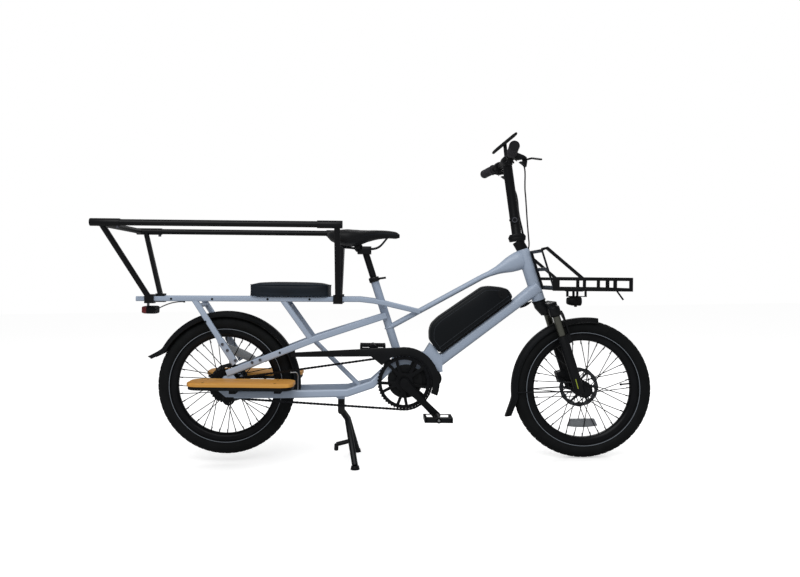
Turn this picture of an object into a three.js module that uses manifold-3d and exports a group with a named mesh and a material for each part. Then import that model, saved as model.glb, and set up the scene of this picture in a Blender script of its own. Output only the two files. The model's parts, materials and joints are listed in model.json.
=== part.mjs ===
// Longtail cargo bike, in millimetres: +X forward, +Y to the rider's left, +Z up.
// Every piece is first placed on a level bike whose rear axle is the origin. The whole bike is
// then pitched onto its centre stand and front tyre, and centred over the ground.
import * as THREE from "three";
import { mergeVertices } from "three/addons/utils/BufferGeometryUtils.js";
import Module from "manifold-3d";

const wasm = await Module();
wasm.setup();

// Driving dimensions of the whole bike
const wheelbase = 1336;
const seam = 0.3; // gap kept between two pieces that meet
const overrun = 6; // how far a cutter runs past what it cuts
const sides = [-1, 1]; // right side, then left side
const sideName = { [-1]: "right", 1: "left" };

// Wheels, each around its own axle
const rim = { outerRadius: 204, depth: 23, halfWidth: 17, spokeBedHalfWidth: 8, shoulder: 13 };
const tyre = { height: 53.5, halfWidth: 27.5, wall: 4, beadFit: 0.5, beadHalfWidth: 13 };
const spokeBedRadius = rim.outerRadius - rim.depth;
const beadRadius = rim.outerRadius + tyre.beadFit;
const tyreRadius = beadRadius + tyre.height;
const spoke = { radius: 1.1, count: 36, flangeRadius: 27, crossingDeg: 55, lace: 1.8 };
const rotor = { radius: 80, innerRadius: 62, carrierRadius: 24, wall: 2, armWidth: 9, arms: 6 };
const frontHub = { shellRadius: 15, flangeRadius: 31, flangeY: 25, flangeWall: 4, halfWidth: 46,
  rotorY: 38 };
const rearHub = { shellRadius: 21, flangeRadius: 33, rightFlangeY: 14, leftFlangeY: 40, flangeWall: 4,
  rightEndY: 19, leftEndY: 64, rotorY: 56 };
const axle = { radius: 6, bore: 6.6, nutRadius: 10, nutWidth: 9 };
const ringSegments = spoke.count; // facets round a tyre or rim, so that each spoke meets a corner of them
const roundSegments = 20; // facets round a middling turned piece

// Head and fork, in the steering frame: origin at the head tube's lower end, z up its axis
const head = { lean: 18, length: 205, radius: 24 };
const fork = { rake: 55, length: 361.7, legForward: 30, legSpread: 68, stanchionRadius: 14,
  stanchionReach: 242, legRadius: 18.5, legTop: 142, travel: 40, crownDrop: 52, crownTop: 14,
  crownDepth: 34, steererRadius: 22, socketRadius: 21.5, socketTop: 25, socketDrop: 66, socketEase: 7,
  boreSpare: 8, lugRadius: 15, lugWall: 14, archForward: 52.5, archWall: 6, archBand: 16, archTop: 309 };
const frontCaliper = { length: 44, height: 40, width: 24, back: 46, up: 40 };

// Centre stand and the pitch that it gives the bike
const stand = { pivotX: 432, pivotZ: -90, footX: 489, footZ: -279, footSpread: 136, footRadius: 17,
  footHeight: 13, legRadius: 11, kneeX: 456, kneeZ: -122, kneeSpread: 30, barrelRadius: 11,
  barrelHalf: 22, pinRadius: 5, earWall: 6, yokeDepth: 11, treadLength: 52, treadRadius: 8,
  treadDownShare: 0.44, treadDrop: 12 };

// Frame tubes on the level bike
const seatTube = { topX: 547.8, topZ: 409.7, lean: 18.27, length: 300, radius: 15.5, bore: 12.9,
  boreDepth: 215, collarRadius: 19.5, collarHeight: 17 };
const bracket = { x: 665.7, z: 23.3 }; // centre of the crank axle
const motor = { radius: 60, halfRight: 41, halfLeft: 52, lobeX: 106, lobeZ: 13, lobeRadius: 34,
  lobeHalf: 36, bore: 10 };
const downTube = { lowX: 808.6, lowZ: 105.5, rise: 37.5, depth: 40, width: 56, headDepth: 52,
  headReach: 452 };
const topTube = { depth: 20.5, width: 34, flareDepth: 72, flareWidth: 46, seatDrop: 197,
  headDown: 33.6, kneeX: 958, kneeZ: 416.5 };
// along the flare from the knee to the head tube's axis: place and swell, both as shares
const flareShares = [[0.155, 0.02], [0.345, 0.2], [0.45, 0.38], [0.54, 0.58], [0.63, 0.76], [0.74, 0.9],
  [0.85, 1], [0.94, 0.94]];
const cradle = { halfWidth: 30, shoulderX: 741, shoulderZ: 131, peakX: 763, peakZ: 166, rearX: 606,
  rearZ: 66, backX: 622, backZ: 108, saddleX: 655, saddleZ: 128, chinX: 812, chinZ: 62 };
const rack = { rearX: -322.5, rearZ: 323, bendX: 499, bendZ: 328, spread: 70, depth: 18.5, width: 18,
  passX: 599, passZ: 312, passSpread: 46, noseX: 722, noseZ: 283.5, noseSpread: 23, noseWidth: 12,
  rungDepth: 12, rungWidth: 26 };
const rungXs = [-300, -96, 70, 232, 400]; // cross members of the rack
const rearStay = { topX: -111, footX: 44, footZ: 88, depth: 20, width: 18, plateShare: 0.62, plateDepth: 26,
  bridgeRadius: 8, bridgeZ: 300 };
const strut = { lowX: 13, lowZ: 52, midX: 340, midZ: 183, highX: 596, highZ: 268, lowSpread: 72,
  midSpread: 66, highSpread: 22, depth: 24, width: 17, bridgeX: 322, bridgeRadius: 10 };
const middleStay = { topX: 213, lowX: 318, lowZ: 182, depth: 20, width: 16, bridgeShare: 0.2,
  bridgeRadius: 7 };
const lowerTube = { rearX: 40, rearZ: -25, midX: 275, midZ: -21, flatX: 455, flatZ: -15.5, spread: 71,
  bendX: 545, bendZ: 12, bendSpread: 43, innerX: 568, innerZ: 32, innerSpread: 33, endX: 618, endZ: 80,
  endSpread: 28, depth: 29, width: 18, bridgeX: 498, bridgeRadius: 9 };
const dropout = { wall: 6, spread: 72 };
const brace = { footZ: 4, radius: 9 };
const standPlate = { length: 30, wall: 12, blockLength: 24 };

// Drive
const chain = { halfHeight: 4.3, ringRadius: 101, cogRadius: 24.5, pulleyRadius: 20, y: -51.5,
  halfWidth: 3.5 };
const guidePulley = { x: 16, z: -46 };
const tensionPulley = { x: 70, z: -24.5 };
const pulley = { bore: 3.4, halfWidth: 2.4, pin: 3, cageWall: 2, cageHalf: 5.5, capRadius: 8 };
const crank = { length: 165, angle: -44.5, axleRadius: 9, ringWall: 4, ringBand: 15, spiderRadius: 34,
  armInner: 72, armOuter: 88, rootRadius: 19, tipRadius: 14, arms: 5, armSpreadDeg: 8,
  armBand: 11, spindleRadius: 5, spindleLength: 98 };
const pedal = { length: 100, width: 88, height: 18, bore: 5.5, rimBand: 10, hubBand: 22, gapFromArm: 9 };
const cassetteSteps = { y: [-55, -47.6, -42.4, -37.2, -32, -26.8, -21.6], radius: [19.8, 27, 34, 43, 54,
  64.5] };
const guard = { outerRadius: 130, innerRadius: 104.5, y: -64, wall: 3, lipWall: 3, lipDepth: 20,
  tailDeg: -21, archDeg: 100, lobeDeg: 143, rearX: 246, rearZ: 121, armHalf: 7.3, kneeX: 541.5, kneeZ: 132.5,
  kneeHalf: 13.8, tabLength: 16, bracketDeg: 62, bracketBand: 22 };

// Battery, in the down tube's frame: x up the tube from its lower end, z out of it
const batteryRail = { start: 12, length: 330, height: 8, halfWidth: 22 };
const battery = { start: 4.5, length: 347.5, height: 107, halfWidth: 45, edge: 8 };
const batteryOutlineShares = [[0, 0.01], [0, 0.53], [0.062, 0.81], [0.122, 0.95], [0.223, 1], [0.804, 0.92],
  [0.868, 0.81], [0.954, 0.55], [1, 0.35], [0.997, 0.11], [0.983, 0]];

// Fenders, each around its axle; angles run from straight ahead, over the top, to the rear
const frontFender = { gap: 4, wall: 3, halfWidth: 33, drop: 17, from: 78, to: 186, flapTo: 200.5,
  flapFlare: 42, stayRadius: 2.6, stayDeg: 183, stayEndX: -34, stayEndZ: -2, stayEndY: 62 };
const rearFender = { gap: 17, wall: 3, halfWidth: 34, drop: 18, from: -4, to: 150, flapTo: 160.5,
  flapFlare: 36, tabDeg: 107.6, tabHalf: 9, tabWall: 4 };

// Passenger railing, cushion and footboards
const railing = { rearX: -425.8, frontX: 439.7, z: 589.5, spread: 253.5, radius: 11, sleeveRadius: 13.5,
  rearSleeve: 103, frontSleeve: 87, crossInset: 14 };
const frontPost = { baseX: 418, topX: 421 };
const rearPost = { baseX: -272.7, topX: -390 };
const post = { radius: 10.5, clampLength: 34, clampHeight: 33, clampWall: 6, footOut: 4 };
const cushion = { rearX: 94, length: 293, height: 50, halfWidth: 93, crown: 6, waist: 5, lift: 0.5 };
const board = { rearX: -103, length: 374, inner: 90, width: 146, topZ: 36, wood: 12, base: 12,
  cornerShare: 0.3,
  armX: [50, 210], armWidth: 24, armWall: 8 };

// Lights and front rack
const tailLight = { x: -291, z: 280, length: 51, height: 30, halfWidth: 34, stemRadius: 5 };
const frontRack = { halfWidth: 190, frontX: 1459, rearX: 1190, topZ: 418, bottomZ: 369, bar: 12, wall: 6,
  backLow: 42, backHigh: 190, backWall: 4, webBand: 12, spineHalf: 24, diagonalX: 1284.5,
  cornerForward: 18.5, slatWidth: 14, slatWall: 4 };
const rackWindowXs = [[1201.5, 1364], [1376, 1391], [1403, 1447]]; // openings of the tray's side panels
const rackSlatXs = [1230, 1300, 1360, 1420]; // cross slats of the tray's floor
const headlight = { x: 1304, z: 329, length: 50, height: 36, halfWidth: 27, lugLength: 60, lugWall: 4,
  lugHalf: 16, neckHalf: 8 };

// Cockpit: the hinge collar, the folding post and the bar
const collar = { x: 1087, z: 567, length: 66, halfWidth: 23, height: 15, neckRadius: 21, gap: 0.4,
  pinOut: 29, pinRadius: 3, knuckleRadius: 6, pinHalf: 17, knuckleHalf: 7 };
const handlepost = { lean: 8.3, length: 288, radius: 18, flange: 12, headRadius: 21, headHalf: 24 };
const bar = { radius: 11, bendY: 70, halfLength: 332, sweepBack: 34, rise: 4 };
const grip = { radius: 17, length: 128, fit: 0.4, cap: 4 };
const perch = { y: 186, halfWidth: 13, reachX: 38, drop: 30, radius: 15.5, pivotHalf: 8, noseReach: 9,
  spoutDrop: 25 };
const lever = { forward: 70, drop: 50, out: 116, thickness: 5, depth: 7, pivotRadius: 6, gap: 0.5 };
const display = { length: 105, wall: 9.5, halfWidth: 33, lowX: 996.2, lowZ: 886.6, rise: 40.2, armHalf: 10,
  armWall: 12 };

// Saddle and seat post
const seatPost = { radius: 12.6, insert: 150, headAbove: 112, headHalfY: 20, headLength: 52,
  headHeight: 34 };
const saddle = { rearX: 372.8, length: 272, topZ: 590, depth: 66, halfWidth: 84, railRadius: 3.5,
  railSpread: 22, railZ: 521, railRearX: 432, railFrontX: 560 };
// along the saddle: place, half width, height of its middle and half depth, all as shares
const saddleShares = [[0, 0.3, 0.64, 0.1], [0.05, 0.66, 0.6, 0.28], [0.15, 0.92, 0.54, 0.42], [0.28, 1,
  0.5, 0.5],
  [0.42, 0.86, 0.52, 0.45], [0.56, 0.56, 0.62, 0.33], [0.7, 0.36, 0.7, 0.26], [0.84, 0.26, 0.72, 0.22],
  [0.95, 0.21, 0.68, 0.2], [1, 0.1, 0.64, 0.1]];
const seatLever = { length: 56, depth: 8, wall: 5, pivotBack: 12, tipRise: 8, standOff: 4,
  barrelHeight: 14 };

// Materials
const paint = (color, roughness = 0.35, metalness = 0) =>
  new THREE.MeshStandardMaterial({ color, roughness, metalness });
const framePaint = paint(0xc9cddb, 0.3);
const blackPaint = paint(0x17181b, 0.45);
const blackPlastic = paint(0x141517, 0.55);
const rubber = paint(0x121314, 0.85);
const steel = paint(0x8b8c8e, 0.35, 1);
const darkSteel = paint(0x2a2b2d, 0.4, 1);
const bamboo = paint(0xc98a2c, 0.5);
const vinyl = paint(0x151c26, 0.6);
const redLens = paint(0x5a0f14, 0.2);

// Vectors and angles
const V = (x, y, z) => new THREE.Vector3(x, y, z);
const rad = THREE.MathUtils.degToRad;
const turned = (angleDeg, radius) =>
  [radius * Math.cos(rad(angleDeg)), radius * Math.sin(rad(angleDeg))];

// Closed surface over rings of points, all with as many points; the end rings are capped with the
// triangles of the flat profile, and the faces are turned outwards.
function skin(rings, profile) {
  const count = rings[0].length;
  const positions = rings.flat().flatMap((p) => [p.x, p.y, p.z]);
  const faces = [];
  for (let i = 0; i + 1 < rings.length; i++)
    for (let j = 0; j < count; j++) {
      const a = i * count + j;
      const b = i * count + ((j + 1) % count);
      faces.push(a, b, b + count, a, b + count, a + count);
    }
  const last = (rings.length - 1) * count;
  for (const [a, b, c] of THREE.ShapeUtils.triangulateShape(profile, []))
    faces.push(a, c, b, last + a, last + b, last + c);
  const geometry = new THREE.BufferGeometry();
  geometry.setAttribute("position", new THREE.Float32BufferAttribute(positions, 3));
  geometry.setIndex(faces);
  return volumeOf(geometry) < 0 ? flipped(geometry) : geometry;
}

function volumeOf(geometry) {
  const at = geometry.attributes.position;
  const index = geometry.index;
  let sum = 0;
  for (let i = 0; i < index.count; i += 3) {
    const [a, b, c] = [0, 1, 2].map((k) => new THREE.Vector3().fromBufferAttribute(at, index.getX(i + k)));
    sum += a.dot(b.cross(c));
  }
  return sum;
}

function flipped(geometry) {
  const faces = Array.from(geometry.index.array);
  for (let i = 0; i < faces.length; i += 3) [faces[i + 1], faces[i + 2]] = [faces[i + 2], faces[i + 1]];
  geometry.setIndex(faces);
  return geometry;
}

// A superellipse of unit half sizes: power 2 is round, higher powers are squarer.
function roundProfile(count, power) {
  return Array.from({ length: count }, (_, k) => {
    const angle = (2 * Math.PI * (k + 0.5)) / count;
    const bend = (value) => Math.sign(value) * Math.abs(value) ** (2 / power);
    return new THREE.Vector2(bend(Math.cos(angle)), bend(Math.sin(angle)));
  });
}

// A tube through stations { at, up, side }: up and side are its half sizes across the path, up in the
// upright plane of the path and side along Y.
function loft(stations, { count = 8, power = 2.4 } = {}) {
  const profile = roundProfile(count, power);
  const rings = stations.map(({ at, up, side }, i) => {
    const before = stations[Math.max(i - 1, 0)].at;
    const after = stations[Math.min(i + 1, stations.length - 1)].at;
    const along = after.clone().sub(before).normalize();
    const upward = along.clone().cross(V(0, 1, 0)).normalize();
    const sideward = upward.clone().cross(along);
    return profile.map((p) => at.clone().addScaledVector(upward, up * p.x).addScaledVector(sideward,
      side * p.y));
  });
  return skin(rings, profile);
}

// A round rod between two points, with an optional second radius at its far end.
function rod(from, to, radius, count = 12, farRadius = radius) {
  const along = to.clone().sub(from);
  const geometry = new THREE.CylinderGeometry(farRadius, radius, along.length(), count);
  const turn = new THREE.Quaternion().setFromUnitVectors(V(0, 1, 0), along.clone().normalize());
  const middle = from.clone().add(to).divideScalar(2);
  return geometry.applyQuaternion(turn).translate(middle.x, middle.y, middle.z);
}

// A rod across the bike, from one Y to another.
const crossRod = (x, z, fromY, toY, radius, count = 12) => rod(V(x, fromY, z), V(x, toY, z), radius, count);

// A tube of round section along a smooth curve through points.
function curvedTube(points, radius, steps, count = 8) {
  const section = new THREE.Shape(roundProfile(count, 2).map((p) => p.multiplyScalar(radius)));
  const path = new THREE.CatmullRomCurve3(points, false, "centripetal");
  return new THREE.ExtrudeGeometry(section, { steps, bevelEnabled: false, extrudePath: path });
}

// A plate standing in the XZ plane: outline and holes are lists of [x, z], from one Y to another.
function plate(outline, fromY, toY, holes = []) {
  const shape = new THREE.Shape(outline.map(([x, z]) => new THREE.Vector2(x, z)));
  shape.holes = holes.map((hole) => new THREE.Path(hole.map(([x, z]) => new THREE.Vector2(x, z))));
  const geometry = new THREE.ExtrudeGeometry(shape, { depth: toY - fromY, bevelEnabled: false });
  return geometry.rotateX(Math.PI / 2).translate(0, toY, 0);
}

// Points of an arc about a centre, as a list of [x, z].
function arc(x, z, radius, fromDeg, toDeg, steps) {
  return Array.from({ length: steps + 1 }, (_, k) => {
    const [dx, dz] = turned(fromDeg + ((toDeg - fromDeg) * k) / steps, radius);
    return [x + dx, z + dz];
  });
}

const circle = (x, z, radius, steps) => arc(x, z, radius, 0, 360 - 360 / steps, steps - 1);

// A box from its lowest and highest corners.
function block(low, high) {
  const size = high.clone().sub(low);
  const middle = low.clone().add(high).divideScalar(2);
  return new THREE.BoxGeometry(size.x, size.y, size.z).translate(middle.x, middle.y, middle.z);
}

// A body turned about the Y axis from a profile of [radius, y] points.
function turnedBody(profile, segments) {
  const points = profile.map(([radius, y]) => new THREE.Vector2(radius, y));
  points.push(points[0].clone());
  const geometry = new THREE.LatheGeometry(points, segments);
  const solid = closed(geometry);
  return volumeOf(solid) < 0 ? flipped(solid) : solid;
}

// Only the merged positions of a geometry, which is what a closed surface needs.
function closed(geometry) {
  const bare = geometry.clone();
  for (const name of Object.keys(bare.attributes)) if (name !== "position") bare.deleteAttribute(name);
  return mergeVertices(bare, 1e-4);
}

// Cutting and joining
function manifoldOf(piece) {
  if (piece.isBufferGeometry !== true) return piece;
  const bare = closed(piece);
  const vertProperties = new Float32Array(bare.attributes.position.array);
  const triVerts = new Uint32Array(bare.index.array);
  return new wasm.Manifold(new wasm.Mesh({ numProp: 3, vertProperties, triVerts }));
}

const join = (...pieces) => pieces.map(manifoldOf).reduce((a, b) => a.add(b));
const cut = (piece, ...cutters) => cutters.map(manifoldOf).reduce((a, b) => a.subtract(b),
  manifoldOf(piece));

function geometryOf(solid) {
  const { vertProperties, triVerts } = solid.getMesh();
  const geometry = new THREE.BufferGeometry();
  geometry.setAttribute("position", new THREE.BufferAttribute(vertProperties, 3));
  geometry.setIndex(new THREE.BufferAttribute(triVerts, 1));
  return geometry;
}

// Groups: the level bike, and the frames that lean in it
const bike = new THREE.Group();
const headX = wheelbase - fork.rake * Math.cos(rad(head.lean)) - fork.length * Math.sin(rad(head.lean));
const headZ = fork.length * Math.cos(rad(head.lean)) - fork.rake * Math.sin(rad(head.lean));
const steering = leaning(headX, headZ, -head.lean);
const alongDownTube = leaning(downTube.lowX, downTube.lowZ, -downTube.rise);
const postFrame = leaning(collar.x, collar.z, -handlepost.lean);
const frontWheel = leaning(wheelbase, 0, 0);

function leaning(x, z, degrees) {
  const group = new THREE.Group();
  group.position.set(x, 0, z);
  group.rotation.y = rad(degrees);
  group.updateMatrix();
  bike.add(group);
  return group;
}

// A solid of a leaning frame, seen from the level bike.
const levelled = (solid, group) => manifoldOf(solid).transform(group.matrix.elements);

function add(name, solid, material, group = bike) {
  const geometry = solid.isBufferGeometry ? solid : geometryOf(solid);
  const mesh = new THREE.Mesh(geometry, material);
  mesh.name = name;
  group.add(mesh);
}

// Head, top and down tubes
const headTubeSolid = (grow = 0) =>
  levelled(rod(V(0, 0, -grow), V(0, 0, head.length + grow), head.radius + grow, 24), steering);

const headPoint = (upAxis) =>
  V(headX - upAxis * Math.sin(rad(head.lean)), 0, headZ + upAxis * Math.cos(rad(head.lean)));
const seatPoint = (downAxis) =>
  V(seatTube.topX + downAxis * Math.sin(rad(seatTube.lean)), 0,
    seatTube.topZ - downAxis * Math.cos(rad(seatTube.lean)));

function topTubeSolid(grow = 0) {
  const rear = seatPoint(topTube.seatDrop);
  const knee = V(topTube.kneeX, 0, topTube.kneeZ);
  const front = headPoint(head.length - topTube.headDown);
  const slim = { up: topTube.depth / 2 + grow, side: topTube.width / 2 + grow };
  const flare = flareShares.map(([along, swell]) => ({
    at: knee.clone().lerp(front, along),
    up: THREE.MathUtils.lerp(topTube.depth, topTube.flareDepth, swell) / 2 + grow,
    side: THREE.MathUtils.lerp(topTube.width, topTube.flareWidth, swell) / 2 + grow,
  }));
  return loft([{ at: rear, ...slim }, { at: knee, ...slim }, ...flare], { count: 16 });
}

function downTubeSolid(grow = 0) {
  const at = (x) => V(x, 0, 0);
  const slim = { up: downTube.depth / 2 + grow, side: downTube.width / 2 + grow };
  const swellStart = downTube.headReach - 2 * head.radius - downTube.headDepth;
  const tube = loft([{ at: at(-downTube.depth / 2), ...slim }, { at: at(swellStart), ...slim },
    { at: at(downTube.headReach), up: downTube.headDepth / 2 + grow,
      side: slim.side }], { count: 16, power: 3 });
  return levelled(tube, alongDownTube);
}

function motorSolid(grow = 0) {
  const { x, z } = bracket;
  const main = crossRod(x, z, -motor.halfRight - grow, motor.halfLeft + grow, motor.radius + grow, 32);
  const lobe = crossRod(x + motor.lobeX, z + motor.lobeZ, -motor.lobeHalf - grow, motor.lobeHalf + grow,
    motor.lobeRadius + grow, 20);
  const waist = block(V(x, -motor.lobeHalf - grow, z + motor.lobeZ - motor.lobeRadius - grow),
    V(x + motor.lobeX, motor.lobeHalf + grow, z + motor.lobeZ + motor.lobeRadius + grow));
  return join(main, lobe, waist);
}

function seatTubeSolid(grow = 0) {
  return join(rod(seatPoint(-grow), seatPoint(seatTube.length), seatTube.radius + grow, 20));
}

function cradleSolid(grow = 0) {
  const c = cradle;
  const outline = [[c.rearX, c.rearZ], [c.backX, c.backZ], [c.saddleX, c.saddleZ], [c.shoulderX,
    c.shoulderZ],
    [c.peakX, c.peakZ], [downTube.lowX, downTube.lowZ + downTube.depth / 2], [downTube.lowX, c.chinZ],
    [c.chinX, c.chinZ], [bracket.x, bracket.z]];
  return plate(outline, -c.halfWidth - grow, c.halfWidth + grow);
}

add("head_tube", cut(headTubeSolid(), levelled(
  rod(V(0, 0, -overrun), V(0, 0, head.length + overrun), fork.steererRadius - fork.crownTop / 2 + seam,
    20), steering)),
framePaint);
add("top_tube", cut(topTubeSolid(), headTubeSolid(seam), seatTubeSolid(seam)), framePaint);
const batteryBay = levelled(block(V(battery.start - seam, -battery.halfWidth,
  downTube.depth / 2 + seam / 2),
  V(battery.start + battery.length, battery.halfWidth,
    downTube.depth / 2 + battery.height)), alongDownTube);
add("down_tube", cut(join(downTubeSolid(), cradleSolid()), headTubeSolid(seam), topTubeSolid(seam),
  motorSolid(seam), seatTubeSolid(seam), batteryBay), framePaint);

const collarTop = seatPoint(0);
add("seat_tube", cut(join(seatTubeSolid(), rod(collarTop, seatPoint(seatTube.collarHeight),
  seatTube.collarRadius, 20)),
  rod(seatPoint(-overrun), seatPoint(seatTube.boreDepth), seatTube.bore,
    16), motorSolid(seam)), framePaint);

// Rear rack: two rails that draw in past the seat tube to the top tube, and cross members
const railZ = (x) => THREE.MathUtils.mapLinear(x, rack.rearX, rack.bendX, rack.rearZ, rack.bendZ);

function rackRail(side, grow = 0) {
  const full = { up: rack.depth / 2 + grow, side: rack.width / 2 + grow };
  const passNear = THREE.MathUtils.lerp(rack.bendX, rack.passX, 0.5);
  return loft([
    { at: V(rack.rearX - grow, side * rack.spread, rack.rearZ), ...full },
    { at: V(rack.bendX, side * rack.spread, rack.bendZ), ...full },
    { at: V(passNear, side * (rack.spread + rack.passSpread) / 2 + side * full.side / 4,
      (rack.bendZ + rack.passZ) / 2 + full.up / 4), ...full },
    { at: V(rack.passX, side * rack.passSpread, rack.passZ), ...full },
    { at: V(rack.noseX, side * rack.noseSpread, rack.noseZ), up: full.up, side: rack.noseWidth / 2 + grow },
  ], { power: 5 });
}

const rungs = rungXs.map((x) => block(
  V(x - rack.rungWidth / 2, -rack.spread, railZ(x) - rack.rungDepth / 2),
  V(x + rack.rungWidth / 2, rack.spread, railZ(x) + rack.rungDepth / 2)));
const seatStub = crossRod(rack.passX - rack.depth, rack.passZ + rack.depth / 4, -rack.passSpread,
  rack.passSpread,
  rack.depth / 2, 12);
add("rear_rack", cut(join(...sides.map((side) => rackRail(side)), ...rungs, seatStub), seatTubeSolid(seam),
  topTubeSolid(seam)), framePaint);

// Struts from the dropouts to the seat tube, with the bridge in front of the wheel
function strutTube(side, grow = 0) {
  const size = { up: strut.depth / 2 + grow, side: strut.width / 2 + grow };
  return loft([{ at: V(strut.lowX, side * strut.lowSpread, strut.lowZ), ...size },
    { at: V(strut.midX, side * strut.midSpread, strut.midZ), ...size },
    { at: V(strut.highX, side * strut.highSpread, strut.highZ), ...size }], { power: 5 });
}
const strutZ = (x) => THREE.MathUtils.mapLinear(x, strut.lowX, strut.midX, strut.lowZ, strut.midZ);
const strutBridge = (grow = 0) => crossRod(strut.bridgeX, strutZ(strut.bridgeX), -strut.midSpread,
  strut.midSpread,
  strut.bridgeRadius + grow, 12);

function dropoutPlate(side, grow = 0) {
  const y = side * dropout.spread;
  const w = dropout.wall / 2 + grow;
  const r = axle.nutRadius;
  const outline = [[-1.8 * r, -1.2 * r], [-1.4 * r, 1.6 * r], [strut.lowX - r, strut.lowZ - r],
    [strut.lowX + 2.4 * r, strut.lowZ - r / 2], [lowerTube.rearX + 2.4 * r, r], [lowerTube.rearX + 5 * r,
      -r],
    [lowerTube.rearX + 2 * r, lowerTube.rearZ - r], [r, lowerTube.rearZ - r]];
  return plate(outline, y - w, y + w);
}

const strutsSolid = join(strutTube(-1), strutTube(1), strutBridge());
add("struts", cut(strutsSolid, seatTubeSolid(seam), dropoutPlate(-1, seam), dropoutPlate(1, seam)),
  framePaint);
const strutsCutter = join(strutTube(-1, seam), strutTube(1, seam), strutBridge(seam));

// Rear stays from the rack down to the struts, with the fender bridge
function rearStayTube(side) {
  const top = V(rearStay.topX, side * rack.spread, railZ(rearStay.topX));
  const foot = V(rearStay.footX, side * dropout.spread, rearStay.footZ);
  const plateStart = top.clone().lerp(foot, rearStay.plateShare);
  const slim = { up: rearStay.depth / 2, side: rearStay.width / 2 };
  const wide = { up: rearStay.plateDepth / 2, side: rearStay.width / 2 };
  return loft([{ at: top, ...slim }, { at: plateStart, ...slim },
    { at: plateStart.clone().lerp(foot, rearStay.depth / top.distanceTo(foot)), ...wide }, { at: foot,
      ...wide }],
  { power: 5 });
}
const stayBridgeX = THREE.MathUtils.mapLinear(rearStay.bridgeZ, railZ(rearStay.topX), rearStay.footZ,
  rearStay.topX, rearStay.footX);
const stayBridge = crossRod(stayBridgeX, rearStay.bridgeZ, -rack.spread, rack.spread,
  rearStay.bridgeRadius, 12);
const rackCutter = join(...sides.map((side) => rackRail(side, seam)), ...rungXs.map((x) => block(
  V(x - rack.rungWidth / 2 - seam, -rack.spread, railZ(x) - rack.rungDepth / 2 - seam),
  V(x + rack.rungWidth / 2 + seam, rack.spread, railZ(x) + rack.rungDepth / 2 + seam))));
add("rear_stays", cut(join(rearStayTube(-1), rearStayTube(1), stayBridge), rackCutter, strutsCutter),
  framePaint);

// Middle stays from the rack down to the struts
function middleStayTube(side) {
  const size = { up: middleStay.depth / 2, side: middleStay.width / 2 };
  return loft([{ at: V(middleStay.topX, side * rack.spread, railZ(middleStay.topX)), ...size },
    { at: V(middleStay.lowX, side * strut.midSpread, middleStay.lowZ), ...size }], { power: 5 });
}
const middleBridgeX = THREE.MathUtils.lerp(middleStay.topX, middleStay.lowX, middleStay.bridgeShare);
const middleBridgeZ = THREE.MathUtils.lerp(railZ(middleStay.topX), middleStay.lowZ, middleStay.bridgeShare);
const middleBridge = crossRod(middleBridgeX, middleBridgeZ, -rack.spread, rack.spread,
  middleStay.bridgeRadius, 12);
add("middle_stays", cut(join(middleStayTube(-1), middleStayTube(1), middleBridge), rackCutter,
  strutsCutter), framePaint);

// Lower tubes with the dropouts, their bridge and the stand's plate and ears
function lowerTubePath(side) {
  const t = lowerTube;
  const size = { up: t.depth / 2, side: t.width / 2 };
  return loft([{ at: V(t.rearX, side * t.spread, t.rearZ), ...size }, { at: V(t.midX, side * t.spread,
    t.midZ), ...size },
    { at: V(t.flatX, side * t.spread, t.flatZ), ...size }, { at: V(t.bendX, side * t.bendSpread, t.bendZ),
      ...size },
    { at: V(t.innerX, side * t.innerSpread, t.innerZ), ...size }, { at: V(t.endX, side * t.endSpread,
      t.endZ), ...size }],
  { power: 4 });
}
const plateZ = THREE.MathUtils.mapLinear(stand.pivotX, lowerTube.midX, lowerTube.flatX, lowerTube.midZ,
  lowerTube.flatZ)
  - lowerTube.depth / 4;
const standMount = [
  block(V(stand.pivotX - standPlate.length / 2, -lowerTube.spread, plateZ - standPlate.wall),
    V(stand.pivotX + standPlate.length / 2, lowerTube.spread, plateZ)),
  block(V(stand.pivotX - standPlate.blockLength / 2, -stand.barrelHalf - seam,
    stand.pivotZ + stand.barrelRadius + seam),
    V(stand.pivotX + standPlate.blockLength / 2, stand.barrelHalf + seam, plateZ - standPlate.wall / 2)),
  ...sides.map((side) => plate([...arc(stand.pivotX, stand.pivotZ, standPlate.blockLength / 2, 180, 360, 8),
    [stand.pivotX + standPlate.blockLength / 2, plateZ - standPlate.wall / 2],
    [stand.pivotX - standPlate.blockLength / 2, plateZ - standPlate.wall / 2]],
  side * (stand.barrelHalf + seam + stand.earWall / 2) - stand.earWall / 2,
  side * (stand.barrelHalf + seam + stand.earWall / 2) + stand.earWall / 2)),
  crossRod(stand.pivotX, stand.pivotZ, -stand.barrelHalf - stand.earWall, stand.barrelHalf + stand.earWall,
    stand.pinRadius, 12),
];
const lowerBridge = crossRod(lowerTube.bridgeX, brace.footZ, -lowerTube.spread + lowerTube.width / 2,
  lowerTube.spread - lowerTube.width / 2, lowerTube.bridgeRadius, 12);
const braceRod = rod(V(strut.bridgeX, 0, strutZ(strut.bridgeX)), V(lowerTube.bridgeX, 0, brace.footZ),
  brace.radius, 12);
const axleHoles = crossRod(0, 0, -dropout.spread - overrun, dropout.spread + overrun, axle.radius + seam,
  12);
add("lower_tubes", cut(join(lowerTubePath(-1), lowerTubePath(1), dropoutPlate(-1), dropoutPlate(1),
  lowerBridge,
  braceRod, ...standMount), cradleCutter(), motorSolid(seam), strutBridge(seam), axleHoles), framePaint);

function cradleCutter() {
  return join(cradleSolid(seam), seatTubeSolid(seam));
}

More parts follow.
